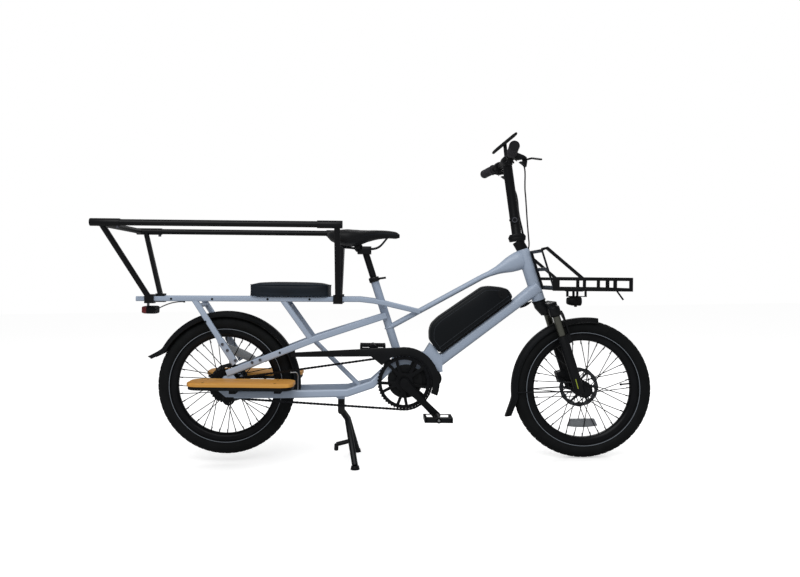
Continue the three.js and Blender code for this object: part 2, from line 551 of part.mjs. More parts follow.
// Centre stand: a barrel on the pin, a yoke, two splayed legs with flat feet and a tread
const standPitch = standAngle();
function standAngle() {
  const ahead = wheelbase - stand.footX;
  const below = -stand.footZ;
  return Math.acos(tyreRadius / Math.hypot(ahead, below)) - Math.atan2(ahead, below);
}
const upright = V(-Math.sin(standPitch), 0, Math.cos(standPitch)); // straight up once the bike is pitched
const pivot = V(stand.pivotX, 0, stand.pivotZ);
const knee = V(stand.kneeX, 0, stand.kneeZ);
const standPieces = [
  crossRod(stand.pivotX, stand.pivotZ, -stand.barrelHalf, stand.barrelHalf, stand.barrelRadius, 20),
  loft([{ at: pivot, up: stand.yokeDepth, side: stand.barrelHalf }, { at: knee, up: stand.yokeDepth,
    side: stand.barrelHalf },
    { at: knee.clone().addScaledVector(upright, -stand.yokeDepth), up: stand.yokeDepth / 2,
      side: stand.barrelHalf }],
  { power: 4 }),
];
const kneeAt = (side) => V(stand.kneeX, side * stand.kneeSpread / 2, stand.kneeZ);
const footAt = (side) => V(stand.footX, side * stand.footSpread, stand.footZ);
for (const side of sides) {
  const ankle = footAt(side).addScaledVector(upright, stand.footHeight);
  standPieces.push(rod(kneeAt(side), ankle, stand.legRadius, 10));
  standPieces.push(rod(footAt(side), footAt(side).addScaledVector(upright, stand.footHeight),
    stand.footRadius, 12,
    stand.footRadius - stand.footHeight / 4));
}
const treadRoot = kneeAt(-1).lerp(footAt(-1), stand.treadDownShare);
const treadTip = treadRoot.clone().add(V(-stand.treadLength, -stand.treadRadius, -stand.treadDrop));
standPieces.push(rod(treadRoot, treadTip, stand.treadRadius, 10));
standPieces.push(rod(treadTip, treadTip.clone().add(V(0, -2 * stand.treadRadius, -2 * stand.treadRadius)),
  stand.treadRadius, 10));
add("center_stand", cut(join(...standPieces), crossRod(stand.pivotX, stand.pivotZ,
  -stand.barrelHalf - overrun,
  stand.barrelHalf + overrun, stand.pinRadius + seam, 16)), blackPaint);

// Motor, crank set and pedals
add("motor", cut(motorSolid(), crossRod(bracket.x, bracket.z, -motor.halfRight - overrun,
  motor.halfLeft + overrun,
  motor.bore, 20)), blackPaint);

const crankTip = (side) => {
  const [dx, dz] = turned(crank.angle, -side * crank.length);
  return V(bracket.x + dx, side * (crank.armInner + crank.armOuter) / 2, bracket.z + dz);
};

function crankArm(side) {
  const root = V(bracket.x, crankTip(side).y, bracket.z);
  const thick = (crank.armOuter - crank.armInner) / 2;
  return [
    loft([{ at: root, up: crank.rootRadius, side: thick }, { at: crankTip(side), up: crank.tipRadius,
      side: thick * 0.8 }],
      { power: 4 }),
    crossRod(root.x, root.z, root.y - thick, root.y + thick, crank.rootRadius, 16),
    crossRod(crankTip(side).x, crankTip(side).z, root.y - thick, root.y + thick, crank.tipRadius, 14),
    crossRod(crankTip(side).x, crankTip(side).z, side * crank.armInner,
      side * (crank.armOuter + crank.spindleLength),
      crank.spindleRadius, 12),
  ];
}

const ringOuter = chain.ringRadius - chain.halfHeight - 2 * seam;
function chainring() {
  const inner = ringOuter - crank.ringBand;
  const from = chain.y - crank.ringWall / 2;
  const to = chain.y + crank.ringWall / 2;
  const band = plate(circle(bracket.x, bracket.z, ringOuter, 36), from, to, [circle(bracket.x, bracket.z,
    inner, 24)]);
  const spokes = Array.from({ length: crank.arms }, (_, k) => {
    const angle = crank.angle + (360 * k) / crank.arms;
    return [-crank.armSpreadDeg, crank.armSpreadDeg].map((off) => {
      const [x, z] = turned(angle + off, inner + crank.ringBand / 2);
      const [rootX, rootZ] = turned(angle + off / 2, crank.spiderRadius - crank.armBand / 2);
      return loft([{ at: V(bracket.x + rootX, chain.y, bracket.z + rootZ), up: crank.armBand / 2,
        side: crank.ringWall / 3 },
        { at: V(bracket.x + x, chain.y, bracket.z + z), up: crank.armBand / 3, side: crank.ringWall / 3 }],
      { count: 4, power: 20 });
    });
  }).flat();
  return join(band, ...spokes, crossRod(bracket.x, bracket.z, from, to, crank.spiderRadius, 24));
}

const crankBoss = crossRod(bracket.x, bracket.z, -crank.armOuter, chain.y + crank.ringWall / 2,
  crank.rootRadius, 20);
const crankBore = crossRod(bracket.x, bracket.z, -crank.armInner - crank.spindleRadius, motor.halfLeft,
  crank.axleRadius + seam, 20);
add("crank_right", cut(join(chainring(), crankBoss, ...crankArm(-1)), crankBore), darkSteel);
add("crank_left", join(crossRod(bracket.x, bracket.z, -crank.armInner - crank.spindleRadius + seam,
  crank.armInner,
  crank.axleRadius, 20), ...crankArm(1)), darkSteel);

for (const side of sides) {
  const { x, z } = crankTip(side);
  const inner = crank.armOuter + pedal.gapFromArm;
  const ys = [side * inner, side * (inner + pedal.width)].sort((a, b) => a - b);
  const half = pedal.length / 2;
  const low = V(x - half, ys[0], z - pedal.height / 2);
  const high = V(x + half, ys[1], z + pedal.height / 2);
  const windows = sides.map((end) => {
    const from = Math.min(end * pedal.hubBand / 2, end * (half - pedal.rimBand));
    const to = Math.max(end * pedal.hubBand / 2, end * (half - pedal.rimBand));
    return block(V(x + from, low.y + pedal.rimBand, low.z - overrun), V(x + to, high.y - pedal.rimBand,
      high.z + overrun));
  });
  add("pedal_" + sideName[side], cut(block(low, high), ...windows,
    crossRod(x, z, low.y - overrun, high.y + overrun, pedal.bore, 12)), blackPlastic);
}

// Chain: a band round the sprocket, the ring and the two pulleys, as the chain runs
const sprockets = [
  { x: 0, z: 0, radius: -chain.cogRadius },
  { x: bracket.x, z: bracket.z, radius: -chain.ringRadius },
  { ...tensionPulley, radius: -chain.pulleyRadius },
  { ...guidePulley, radius: chain.pulleyRadius },
]; // a negative radius is run round clockwise, seen from the right

// The angle at which the chain leaves one sprocket for the next.
function tangentAngle(from, to) {
  const distance = Math.hypot(to.x - from.x, to.z - from.z);
  return Math.atan2(to.z - from.z, to.x - from.x) - Math.asin((to.radius - from.radius) / distance);
}

function chainLoop(offset) {
  return sprockets.flatMap((sprocket, k) => {
    const previous = sprockets[(k + 3) % 4];
    const next = sprockets[(k + 1) % 4];
    const enter = tangentAngle(previous, sprocket);
    let leave = tangentAngle(sprocket, next);
    const way = Math.sign(sprocket.radius);
    while (way * (leave - enter) < 0) leave += way * 2 * Math.PI;
    while (way * (leave - enter) > 2 * Math.PI) leave -= way * 2 * Math.PI;
    const steps = Math.max(4, Math.ceil(Math.abs(leave - enter) * 7));
    const reach = sprocket.radius - offset;
    return Array.from({ length: steps + 1 }, (_, i) => {
      const angle = enter + ((leave - enter) * i) / steps;
      return [sprocket.x + reach * Math.sin(angle), sprocket.z - reach * Math.cos(angle)];
    });
  });
}
add("chain", cut(plate(chainLoop(chain.halfHeight), chain.y - chain.halfWidth, chain.y + chain.halfWidth),
  plate(chainLoop(-chain.halfHeight), chain.y - 2 * chain.halfWidth,
    chain.y + 2 * chain.halfWidth)), darkSteel);

// Cassette, derailleur and its two pulleys
function cassetteProfile() {
  const { y, radius } = cassetteSteps;
  const steps = radius.flatMap((r, k) => [[r, y[k]], [r, y[k + 1]]]);
  return [[axle.bore, y[0]], ...steps, [axle.bore, y[y.length - 1]]];
}
add("cassette", turnedBody(cassetteProfile(), 24), darkSteel);

const pulleyOuter = chain.pulleyRadius - chain.halfHeight - seam;
for (const [name, place] of Object.entries({ guide_pulley: guidePulley, tension_pulley: tensionPulley })) {
  const group = leaning(place.x, place.z, 0);
  add(name, turnedBody([[pulley.bore, chain.y - pulley.halfWidth], [pulleyOuter,
    chain.y - pulley.halfWidth],
    [pulleyOuter, chain.y + pulley.halfWidth], [pulley.bore,
      chain.y + pulley.halfWidth]], 16), blackPlastic, group);
}

function cagePlate(fromY) {
  const link = V(tensionPulley.x - guidePulley.x, 0, tensionPulley.z - guidePulley.z);
  const tilt = THREE.MathUtils.radToDeg(Math.atan2(link.z, link.x));
  const outline = [...arc(guidePulley.x, guidePulley.z, pulley.capRadius, tilt + 90, tilt + 270, 8),
    ...arc(tensionPulley.x, tensionPulley.z, pulley.capRadius, tilt - 90, tilt + 90, 8)];
  return plate(outline, fromY, fromY + pulley.cageWall);
}
const cageOutY = chain.y - pulley.cageHalf - pulley.cageWall;
const cageInY = chain.y + pulley.cageHalf;
const derailleurSeat = -dropout.spread + dropout.wall / 2;
add("derailleur", join(cagePlate(cageOutY), cagePlate(cageInY),
  ...[guidePulley, tensionPulley].map(({ x, z }) => crossRod(x, z, cageOutY, cageInY + pulley.cageWall,
    pulley.pin, 10)),
  crossRod(guidePulley.x, lowerTube.rearZ - axle.nutRadius / 2, derailleurSeat + seam,
    cageOutY + pulley.cageWall / 2,
    pulley.capRadius, 14),
  block(V(guidePulley.x - pulley.capRadius, cageOutY - pulley.capRadius / 2, guidePulley.z),
    V(guidePulley.x + pulley.capRadius, cageOutY + pulley.cageWall / 2,
      lowerTube.rearZ - axle.nutRadius / 2))),
blackPaint);

// Chain guard: an outer plate with its lip over the chain, a tab under the strut and a motor bracket
function guardSolid() {
  const g = guard;
  const { x, z } = bracket;
  const outer = arc(x, z, g.outerRadius, g.tailDeg, g.archDeg, 14);
  const inner = arc(x, z, g.innerRadius, g.lobeDeg, g.tailDeg, 16);
  const armTop = [[g.kneeX, g.kneeZ + g.kneeHalf], [g.rearX, g.rearZ + g.armHalf]];
  const armUnder = [[g.rearX, g.rearZ - g.armHalf], [g.kneeX, g.kneeZ - g.kneeHalf]];
  const lipOuter = [...outer, ...armTop];
  const lipInner = [[g.rearX, g.rearZ + g.armHalf - g.lipWall], [g.kneeX, g.kneeZ + g.kneeHalf - g.lipWall],
    ...arc(x, z, g.outerRadius - g.lipWall, g.archDeg, g.tailDeg, 14)];
  const face = plate([...outer, ...armTop, ...armUnder, ...inner], g.y - g.wall, g.y);
  const lip = plate([...lipOuter, ...lipInner], g.y - g.wall / 2, g.y + g.lipDepth);
  const tab = block(V(g.rearX, g.y - g.wall, g.rearZ), V(g.rearX + g.tabLength, g.y,
    strutZ(g.rearX + g.tabLength)));
  const bracketFrom = -motor.halfRight - seam - g.wall;
  const reachIn = turned(g.bracketDeg, motor.radius - g.bracketBand);
  const reachOut = turned(g.bracketDeg, g.outerRadius - g.lipWall / 2);
  const arm = loft([{ at: V(x + reachIn[0], bracketFrom + g.wall / 2, z + reachIn[1]),
    up: g.bracketBand / 2, side: g.wall / 2 },
    { at: V(x + reachOut[0], bracketFrom + g.wall / 2, z + reachOut[1]), up: g.bracketBand / 2,
      side: g.wall / 2 }],
  { count: 8, power: 8 });
  return cut(join(face, lip, tab, arm), strutsCutter);
}
add("chain_guard", guardSolid(), blackPlastic);

// Wheels: hub, laced spokes and rotor in one piece, a rim and a hollow tyre
function rimBody() {
  const { outerRadius, halfWidth, spokeBedHalfWidth, shoulder } = rim;
  const edge = spokeBedRadius + shoulder;
  return turnedBody([[spokeBedRadius, -spokeBedHalfWidth], [edge, -halfWidth], [outerRadius, -halfWidth],
    [outerRadius, halfWidth], [edge, halfWidth], [spokeBedRadius, spokeBedHalfWidth]], ringSegments);
}

function tyreBody() {
  const crown = tyre.height / 2;
  const middle = tyreRadius - crown;
  const bulge = (count, radius, halfWidth) => Array.from({ length: count }, (_, k) => {
    const angle = Math.PI * (k / (count - 1) - 0.5);
    return [middle + radius * Math.cos(angle), halfWidth * Math.sin(angle)];
  });
  const outer = bulge(7, crown, tyre.halfWidth);
  const inner = bulge(5, crown - tyre.wall, tyre.halfWidth - tyre.wall).reverse();
  const beadOut = [beadRadius, tyre.beadHalfWidth + tyre.wall / 2];
  const beadIn = [beadRadius, tyre.beadHalfWidth - tyre.wall / 2];
  return turnedBody([[beadOut[0], -beadOut[1]], ...outer, beadOut, beadIn, ...inner, [beadIn[0],
    -beadIn[1]]],
    ringSegments);
}

function spokeSet(rightY, leftY) {
  return Array.from({ length: spoke.count }, (_, k) => {
    const way = (k >> 1) % 2 ? 1 : -1;
    const angle = (360 * k) / spoke.count;
    const [x, z] = turned(angle, spokeBedRadius - seam);
    const [fromX, fromZ] = turned(angle + way * spoke.crossingDeg, spoke.flangeRadius);
    const fromY = (k % 2 ? rightY : leftY) + way * spoke.lace;
    return rod(V(fromX, fromY, fromZ), V(x, 0, z), spoke.radius, 3);
  });
}

function rotorBody(y) {
  const [from, to] = [y - rotor.wall / 2, y + rotor.wall / 2];
  const band = plate(circle(0, 0, rotor.radius, 26), from, to, [circle(0, 0, rotor.innerRadius, 20)]);
  const arms = Array.from({ length: rotor.arms }, (_, k) => {
    const [x, z] = turned((360 * k) / rotor.arms, rotor.innerRadius + rotor.wall);
    return loft([{ at: V(0, y, 0), up: rotor.armWidth / 2, side: rotor.wall / 2 },
      { at: V(x, y, z), up: rotor.armWidth / 2, side: rotor.wall / 2 }], { count: 4, power: 2 });
  });
  return [band, ...arms, crossRod(0, 0, from, to, rotor.carrierRadius, 16)];
}

function hubBody(endRight, flangeRight, flangeLeft, endLeft, hub) {
  const half = hub.flangeWall / 2;
  return turnedBody([[axle.bore, endRight], [hub.shellRadius, endRight], [hub.shellRadius,
    flangeRight - half],
    [hub.flangeRadius, flangeRight - half], [hub.flangeRadius, flangeRight + half], [hub.shellRadius,
      flangeRight + half],
    [hub.shellRadius, flangeLeft - half], [hub.flangeRadius, flangeLeft - half], [hub.flangeRadius,
      flangeLeft + half],
    [hub.shellRadius, flangeLeft + half], [hub.shellRadius, endLeft], [axle.bore, endLeft]], roundSegments);
}

function lacedHub(hub, endRight, flangeRight, flangeLeft, endLeft) {
  const bore = crossRod(0, 0, endRight - overrun, endLeft + overrun, axle.bore, roundSegments);
  return join(hubBody(endRight, flangeRight, flangeLeft, endLeft, hub), ...spokeSet(flangeRight,
    flangeLeft),
    cut(join(...rotorBody(hub.rotorY)), bore));
}

add("front_hub", lacedHub(frontHub, -frontHub.halfWidth, -frontHub.flangeY, frontHub.flangeY,
  frontHub.halfWidth),
  steel, frontWheel);
add("front_rim", rimBody(), blackPaint, frontWheel);
add("front_tyre", tyreBody(), rubber, frontWheel);
add("rear_hub", lacedHub(rearHub, -rearHub.rightEndY, -rearHub.rightFlangeY, rearHub.leftFlangeY,
  rearHub.leftEndY), steel);
add("rear_rim", rimBody(), blackPaint);
add("rear_tyre", tyreBody(), rubber);

const nutFace = dropout.spread + dropout.wall / 2 + seam;
add("rear_axle", join(crossRod(0, 0, -nutFace - axle.nutWidth, nutFace + axle.nutWidth, axle.radius, 14),
  ...sides.map((side) => crossRod(0, 0, side * nutFace, side * (nutFace + axle.nutWidth), axle.nutRadius,
    6))), steel);

// Fenders: a curved band over the tyre, a flap at its rear end, and what holds it
function fenderBand(f) {
  const profile = [[0, -1], [-0.32, -0.72], [0, -0.3], [0, 0.3], [-0.32, 0.72], [0, 1]];
  const depthShares = [1, 0.28, 0, 0, 0.28, 1]; // how far each point of the section hangs below the crown
  const widthShares = profile.map(([, w]) => w);
  const section = (shrink) => widthShares.map((w, k) => [
    tyreRadius + f.gap + f.wall - shrink - f.drop * depthShares[k],
    (f.halfWidth - (shrink ? f.wall / 3 : 0)) * w]);
  const outline = [...section(0), ...section(f.wall).reverse()];
  const flat = outline.map(([r, y]) => new THREE.Vector2(r, y));
  const arcSteps = 18;
  const flapSteps = 3;
  const rings = [];
  for (let k = 0; k <= arcSteps + flapSteps; k++) {
    const onFlap = Math.max(0, k - arcSteps) / flapSteps;
    const angle = k <= arcSteps
      ? f.from + ((f.to - f.from) * k) / arcSteps
      : f.to + (f.flapTo - f.to) * onFlap;
    rings.push(outline.map(([r, y]) => {
      const [x, z] = turned(angle, r + f.flapFlare * onFlap ** 1.5);
      return V(x, y, z);
    }));
  }
  return skin(rings, flat);
}

const ff = frontFender;
const fenderStays = sides.map((side) => {
  const [x, z] = turned(ff.stayDeg, tyreRadius + ff.gap - ff.drop + ff.stayRadius);
  return curvedTube([V(x, side * (ff.halfWidth - ff.wall / 2), z), V(ff.stayEndX, side * ff.stayEndY,
    ff.stayEndZ)], ff.stayRadius, 6);
});

const rf = rearFender;
const [tabX, tabZ] = turned(rf.tabDeg, tyreRadius + rf.gap);
const fenderTab = loft([{ at: V(tabX, 0, tabZ), up: rf.tabWall / 2, side: rf.tabHalf },
  { at: V(stayBridgeX, 0, rearStay.bridgeZ), up: rf.tabWall / 2,
    side: rf.tabHalf }], { count: 8, power: 6 });
add("rear_fender", cut(join(fenderBand(rf), fenderTab), crossRod(stayBridgeX, rearStay.bridgeZ,
  -rack.spread,
  rack.spread, rearStay.bridgeRadius + seam, 12)), blackPlastic);

// Fork: crown with steerer and stanchions, then the sliding lowers with arch, axle and caliper
const legZ = (z) => sides.map((side) => V(fork.legForward, side * fork.legSpread, z));
function forkCrown() {
  const { crownTop, crownDrop, crownDepth, legForward, legSpread, socketRadius, socketEase } = fork;
  const beam = block(V(legForward - crownDepth / 2, -legSpread, -crownDrop + crownTop / 2),
    V(legForward + crownDepth / 2, legSpread, -crownTop));
  const boss = loft([{ at: V(0, 0, -seam), up: head.radius, side: head.radius },
    { at: V(0, 0, -crownTop), up: head.radius, side: head.radius },
    { at: V(legForward / 2, 0, -crownDrop + crownTop / 2), up: head.radius,
      side: head.radius }], { count: 16, power: 2 });
  const socketSteps = [[-fork.socketTop, socketEase], [-fork.socketTop - socketEase, 0],
    [-fork.socketDrop + socketEase, 0], [-fork.socketDrop, socketEase]];
  const sockets = legZ(0).map(({ x, y }) => loft(socketSteps.map(([z, ease]) =>
    ({ at: V(x, y, z), up: socketRadius - ease, side: socketRadius - ease })), { count: 16, power: 2 }));
  const stanchions = legZ(0).map(({ x, y }) =>
    rod(V(x, y, -crownDrop + crownTop), V(x, y, -fork.stanchionReach), fork.stanchionRadius, 16));
  const steerer = rod(V(0, 0, -crownTop), V(0, 0, head.length + collarSeat()),
    fork.steererRadius - crownTop / 2, 20);
  return join(beam, boss, steerer, ...sockets, ...stanchions);
}
const collarSeat = () => 2 * overrun;
add("fork_crown", forkCrown(), blackPaint, steering);

function forkLegs(grow = 0) {
  const axleZ = -fork.length;
  return join(...sides.flatMap((side) => {
    const y = side * fork.legSpread;
    const lug = [...arc(fork.rake, axleZ, fork.lugRadius + grow, -90, 60, 8),
      [fork.legForward, axleZ + 3 * fork.lugRadius + grow], [fork.legForward,
        axleZ - fork.lugRadius - grow]];
    return [rod(V(fork.legForward, y, -fork.legTop), V(fork.legForward, y, axleZ - grow),
      fork.legRadius + grow, 16),
      plate(lug, y - fork.lugWall / 2 - grow, y + fork.lugWall / 2 + grow)];
  }));
}

function forkLowers() {
  const axleZ = -fork.length;
  const archFoot = -fork.legTop - fork.archBand;
  const topZ = axleZ + fork.archTop;
  const outer = fork.legSpread + fork.archBand / 2;
  const inner = fork.legSpread - fork.archBand / 2;
  const archShape = new THREE.Shape([[-outer, archFoot], [-outer, topZ - fork.archBand], [-inner, topZ],
    [inner, topZ],
    [outer, topZ - fork.archBand], [outer, archFoot], [inner, archFoot], [inner, topZ - 2 * fork.archBand],
    [inner - fork.archBand, topZ - fork.archBand], [fork.archBand - inner, topZ - fork.archBand],
    [-inner, topZ - 2 * fork.archBand], [-inner, archFoot]].map(([y, z]) => new THREE.Vector2(y, z)));
  const arch = new THREE.ExtrudeGeometry(archShape, { depth: fork.archWall, bevelEnabled: false })
    .rotateX(Math.PI / 2).rotateZ(Math.PI / 2).translate(fork.archForward, 0, 0);
  const webs = sides.map((side) => block(
    V(fork.legForward, side * fork.legSpread - fork.archBand / 2, archFoot - fork.archBand),
    V(fork.archForward + fork.archWall, side * fork.legSpread + fork.archBand / 2,
      archFoot + fork.archBand)));
  const caliper = block(V(fork.rake - frontCaliper.back - frontCaliper.length / 2,
    frontHub.rotorY - frontCaliper.width / 2,
    axleZ + frontCaliper.up), V(fork.rake - frontCaliper.back + frontCaliper.length / 2, fork.legSpread,
    axleZ + frontCaliper.up + frontCaliper.height));
  const rotorSlot = crossRod(fork.rake, axleZ, frontHub.rotorY - rotor.wall, frontHub.rotorY + rotor.wall,
    rotor.radius + rotor.wall, 32);
  const bores = legZ(0).map(({ x, y }) => rod(V(x, y, -fork.legTop + overrun),
    V(x, y, -fork.stanchionReach - fork.travel - fork.boreSpare), fork.stanchionRadius + seam, 16));
  const pin = crossRod(fork.rake, axleZ, -fork.legSpread, fork.legSpread, axle.radius, 14);
  return cut(join(cut(join(forkLegs(), arch, ...webs, caliper), rotorSlot), pin), ...bores);
}
add("fork_lowers", forkLowers(), blackPaint, steering);
add("front_fender", cut(join(fenderBand(ff), ...fenderStays), toFrontWheel(forkLegs(seam))), blackPlastic,
  frontWheel);

// A solid of the steering frame, seen from the front wheel's centre.
function toFrontWheel(solid) {
  const matrix = new THREE.Matrix4().copy(frontWheel.matrix).invert().multiply(steering.matrix);
  return manifoldOf(solid).transform(matrix.elements);
}

// Hinge collar, folding handlepost, bar, grips, levers and display
function stemBase() {
  const c = collar;
  const foot = new THREE.Matrix4().copy(postFrame.matrix).invert().multiply(steering.matrix);
  const neckLow = V(0, 0, head.length - overrun).applyMatrix4(foot);
  const split = -c.gap / 2;
  const neck = rod(neckLow, V(0, 0, split - c.height), c.neckRadius, 20);
  const plateBlock = loft([{ at: V(0, 0, split - c.height), up: c.length / 2 - c.height / 4,
    side: c.halfWidth },
    { at: V(0, 0, split), up: c.length / 2, side: c.halfWidth }], { count: 16, power: 3 });
  const ears = sides.map((end) => block(V(end * c.pinHalf - c.pinRadius, c.halfWidth - c.height / 2,
    split - c.height),
    V(end * c.pinHalf + c.pinRadius, c.pinOut + c.pinRadius, split - c.pinRadius)));
  const rings = sides.map((end) => rod(V(end * c.pinHalf - c.pinRadius, c.pinOut, 0),
    V(end * c.pinHalf + c.pinRadius, c.pinOut, 0), c.knuckleRadius, 12));
  const pin = rod(V(-c.pinHalf, c.pinOut, 0), V(c.pinHalf, c.pinOut, 0), c.pinRadius, 10);
  const steererHole = rod(V(0, 0, head.length - overrun).applyMatrix4(foot),
    V(0, 0, head.length + collarSeat() + overrun).applyMatrix4(foot),
    fork.steererRadius - fork.crownTop / 2 + seam, 20);
  const headTop = rod(V(0, 0, 0).applyMatrix4(foot), V(0, 0, head.length + seam).applyMatrix4(foot),
    2 * head.radius, 20);
  return cut(join(neck, plateBlock, ...ears, ...rings, pin), steererHole, headTop);
}
add("stem_base", stemBase(), blackPaint, postFrame);

function handlepostSolid() {
  const c = collar;
  const h = handlepost;
  const split = c.gap / 2;
  const flange = loft([{ at: V(0, 0, split), up: c.length / 2, side: c.halfWidth },
    { at: V(0, 0, split + h.flange), up: c.length / 2 - c.height / 2,
      side: c.halfWidth }], { count: 16, power: 3 });
  const knuckleRing = rod(V(-c.knuckleHalf, c.pinOut, 0), V(c.knuckleHalf, c.pinOut, 0), c.knuckleRadius,
    12);
  const web = block(V(-c.knuckleHalf, c.halfWidth - c.height / 2, split + c.pinRadius),
    V(c.knuckleHalf, c.pinOut + c.pinRadius, split + h.flange));
  const tube = rod(V(0, 0, split + h.flange / 2), V(0, 0, h.length), h.radius, 20);
  const clamp = crossRod(0, h.length, -h.headHalf, h.headHalf, h.headRadius, 20);
  const pinHole = rod(V(-c.pinHalf, c.pinOut, 0), V(c.pinHalf, c.pinOut, 0), c.pinRadius + seam, 10);
  return cut(join(flange, knuckleRing, web, tube, clamp), pinHole,
    crossRod(0, h.length, -h.headHalf - overrun, h.headHalf + overrun, bar.radius + seam, 16));
}
add("handlepost", handlepostSolid(), blackPaint, postFrame);

// The bar in the post's frame: straight at the clamp, then swept back to the grips.
const barEnd = (side, y) => {
  const share = (y - bar.bendY) / (bar.halfLength - bar.bendY);
  return V(-bar.sweepBack * share, side * y, handlepost.length + bar.rise * share);
};
function barSolid(grow = 0) {
  const profile = roundProfile(14, 2);
  const reach = bar.radius + grow;
  const end = bar.halfLength + grow;
  const ring = (at) => profile.map((p) => at.clone().add(V(p.x * reach, 0, p.y * reach)));
  return skin([barEnd(-1, end), barEnd(-1, bar.bendY), barEnd(1, bar.bendY), barEnd(1, end)].map(ring),
    profile);
}
const perchAt = (side) => barEnd(side, perch.y);
const leverPivot = (side) => perchAt(side).add(V(perch.reachX, 0, -perch.drop));
function perchSolid(side) {
  const at = perchAt(side);
  const hinge = leverPivot(side);
  const clampRing = rod(at.clone().add(V(0, -perch.halfWidth, 0)), at.clone().add(V(0, perch.halfWidth,
    0)), perch.radius, 16);
  const nose = hinge.x + perch.noseReach;
  const arm = plate([[at.x, at.z + perch.pivotHalf], [hinge.x, hinge.z + 2 * perch.pivotHalf],
    [nose, hinge.z + perch.pivotHalf], [nose, hinge.z - perch.pivotHalf],
    [hinge.x + perch.pivotHalf / 2, hinge.z - perch.spoutDrop],
    [hinge.x - perch.pivotHalf, hinge.z - perch.spoutDrop / 2], [at.x, at.z - perch.radius]],
  at.y - perch.halfWidth, at.y + perch.halfWidth);
  const slot = rod(hinge.clone().add(V(0, 0, -lever.depth / 2 - lever.gap)), hinge.clone().add(V(0, 0,
    lever.depth / 2 + lever.gap)),
    2 * lever.pivotRadius + perch.halfWidth, 20);
  const pin = rod(hinge.clone().add(V(0, 0, -perch.pivotHalf + lever.gap)), hinge.clone().add(V(0, 0,
    perch.pivotHalf - lever.gap)),
    lever.pivotRadius / 2, 10);
  return join(cut(arm, slot), clampRing, pin);
}
add("handlebar", join(barSolid(), perchSolid(-1), perchSolid(1)), blackPaint, postFrame);

for (const side of sides) {
  const from = barEnd(side, bar.halfLength - grip.length);
  const to = barEnd(side, bar.halfLength + grip.cap);
  const sleeve = cut(rod(from, to, grip.radius, 20), barSolid(grip.fit));
  add("grip_" + sideName[side], sleeve, rubber, postFrame);

  const hinge = leverPivot(side);
  const elbow = hinge.clone().add(V((lever.forward - perch.reachX) * 0.75, side * lever.out * 0.22, 0));
  const tip = hinge.clone().add(V(lever.forward - perch.reachX, side * lever.out, perch.drop - lever.drop));
  const bladeAt = (at, grow) => roundProfile(8, 3).map((p) =>
    at.clone().add(V(p.x * lever.thickness * grow, 0, p.y * lever.depth * 0.5 * grow)));
  const rings = [bladeAt(hinge, 1), bladeAt(elbow, 1), bladeAt(elbow.clone().lerp(tip, 0.5), 1),
    bladeAt(tip, 0.9)];
  const eye = rod(hinge.clone().add(V(0, 0, -lever.depth / 2)), hinge.clone().add(V(0, 0, lever.depth / 2)),
    lever.pivotRadius, 14);
  const bore = rod(hinge.clone().add(V(0, 0, -lever.depth)), hinge.clone().add(V(0, 0, lever.depth)),
    lever.pivotRadius / 2 + seam, 10);
  add("brake_lever_" + sideName[side], cut(join(skin(rings, roundProfile(8, 3)), eye), bore), darkSteel,
    postFrame);
}

function displaySolid() {
  const d = display;
  const toPost = new THREE.Matrix4().copy(postFrame.matrix).invert();
  const low = V(d.lowX, 0, d.lowZ).applyMatrix4(toPost);
  const tilt = rad(d.rise - handlepost.lean);
  const high = low.clone().add(V(d.length * Math.cos(tilt), 0, d.length * Math.sin(tilt)));
  const slab = loft([{ at: low, up: d.wall / 2, side: d.halfWidth }, { at: high, up: d.wall / 2,
    side: d.halfWidth }],
    { count: 16, power: 8 });
  const middle = low.clone().lerp(high, 0.5);
  const arm = loft([{ at: middle, up: d.armWall / 2, side: d.armHalf },
    { at: V(0, 0, handlepost.length), up: d.armWall / 2, side: d.armHalf }], { count: 8, power: 6 });
  return cut(join(slab, arm), crossRod(0, handlepost.length, -handlepost.headHalf - overrun,
    handlepost.headHalf + overrun, handlepost.headRadius + seam, 20));
}
add("display", displaySolid(), blackPlastic, postFrame);

// Seat post, saddle and the collar's lever
const postAxis = (up) => seatPoint(-up);
const clampCentre = postAxis(seatPost.headAbove);
function seatPostSolid() {
  const tube = rod(postAxis(-seatPost.insert), postAxis(seatPost.headAbove - seatPost.headHeight / 4),
    seatPost.radius, 20);
  const clamp = block(V(clampCentre.x - seatPost.headLength / 2,
    -seatPost.headHalfY - saddle.railSpread / 2,
    saddle.railZ - seatPost.headHeight * 0.7),
  V(clampCentre.x + seatPost.headLength / 2, seatPost.headHalfY + saddle.railSpread / 2,
    saddle.railZ + seatPost.headHeight * 0.14));
  return cut(join(tube, clamp), ...saddleRails(seam));
}

function saddleRails(grow = 0) {
  const s = saddle;
  return sides.map((side) => {
    const y = side * s.railSpread;
    const points = [V(s.rearX + s.length * 0.16, y * 1.6, s.topZ - s.depth * 0.6), V(s.railRearX, y,
      s.railZ + s.railRadius),
      V(s.railRearX + s.length * 0.08, y, s.railZ), V(s.railFrontX, y, s.railZ),
      V(s.rearX + s.length * 0.84, y * 0.4, s.topZ - s.depth * 0.42)];
    return curvedTube(points, s.railRadius + grow, 12);
  });
}

function saddleSolid() {
  const s = saddle;
  const stations = saddleShares.map(([along, wide, mid, deep]) => ({
    at: V(s.rearX + s.length * along, 0, s.topZ - s.depth * (1 - mid)),
    up: s.depth * deep,
    side: s.halfWidth * wide,
  }));
  return join(loft(stations, { count: 16, power: 2.6 }), ...saddleRails());
}
add("seatpost", seatPostSolid(), blackPaint);
add("saddle", saddleSolid(), vinyl);

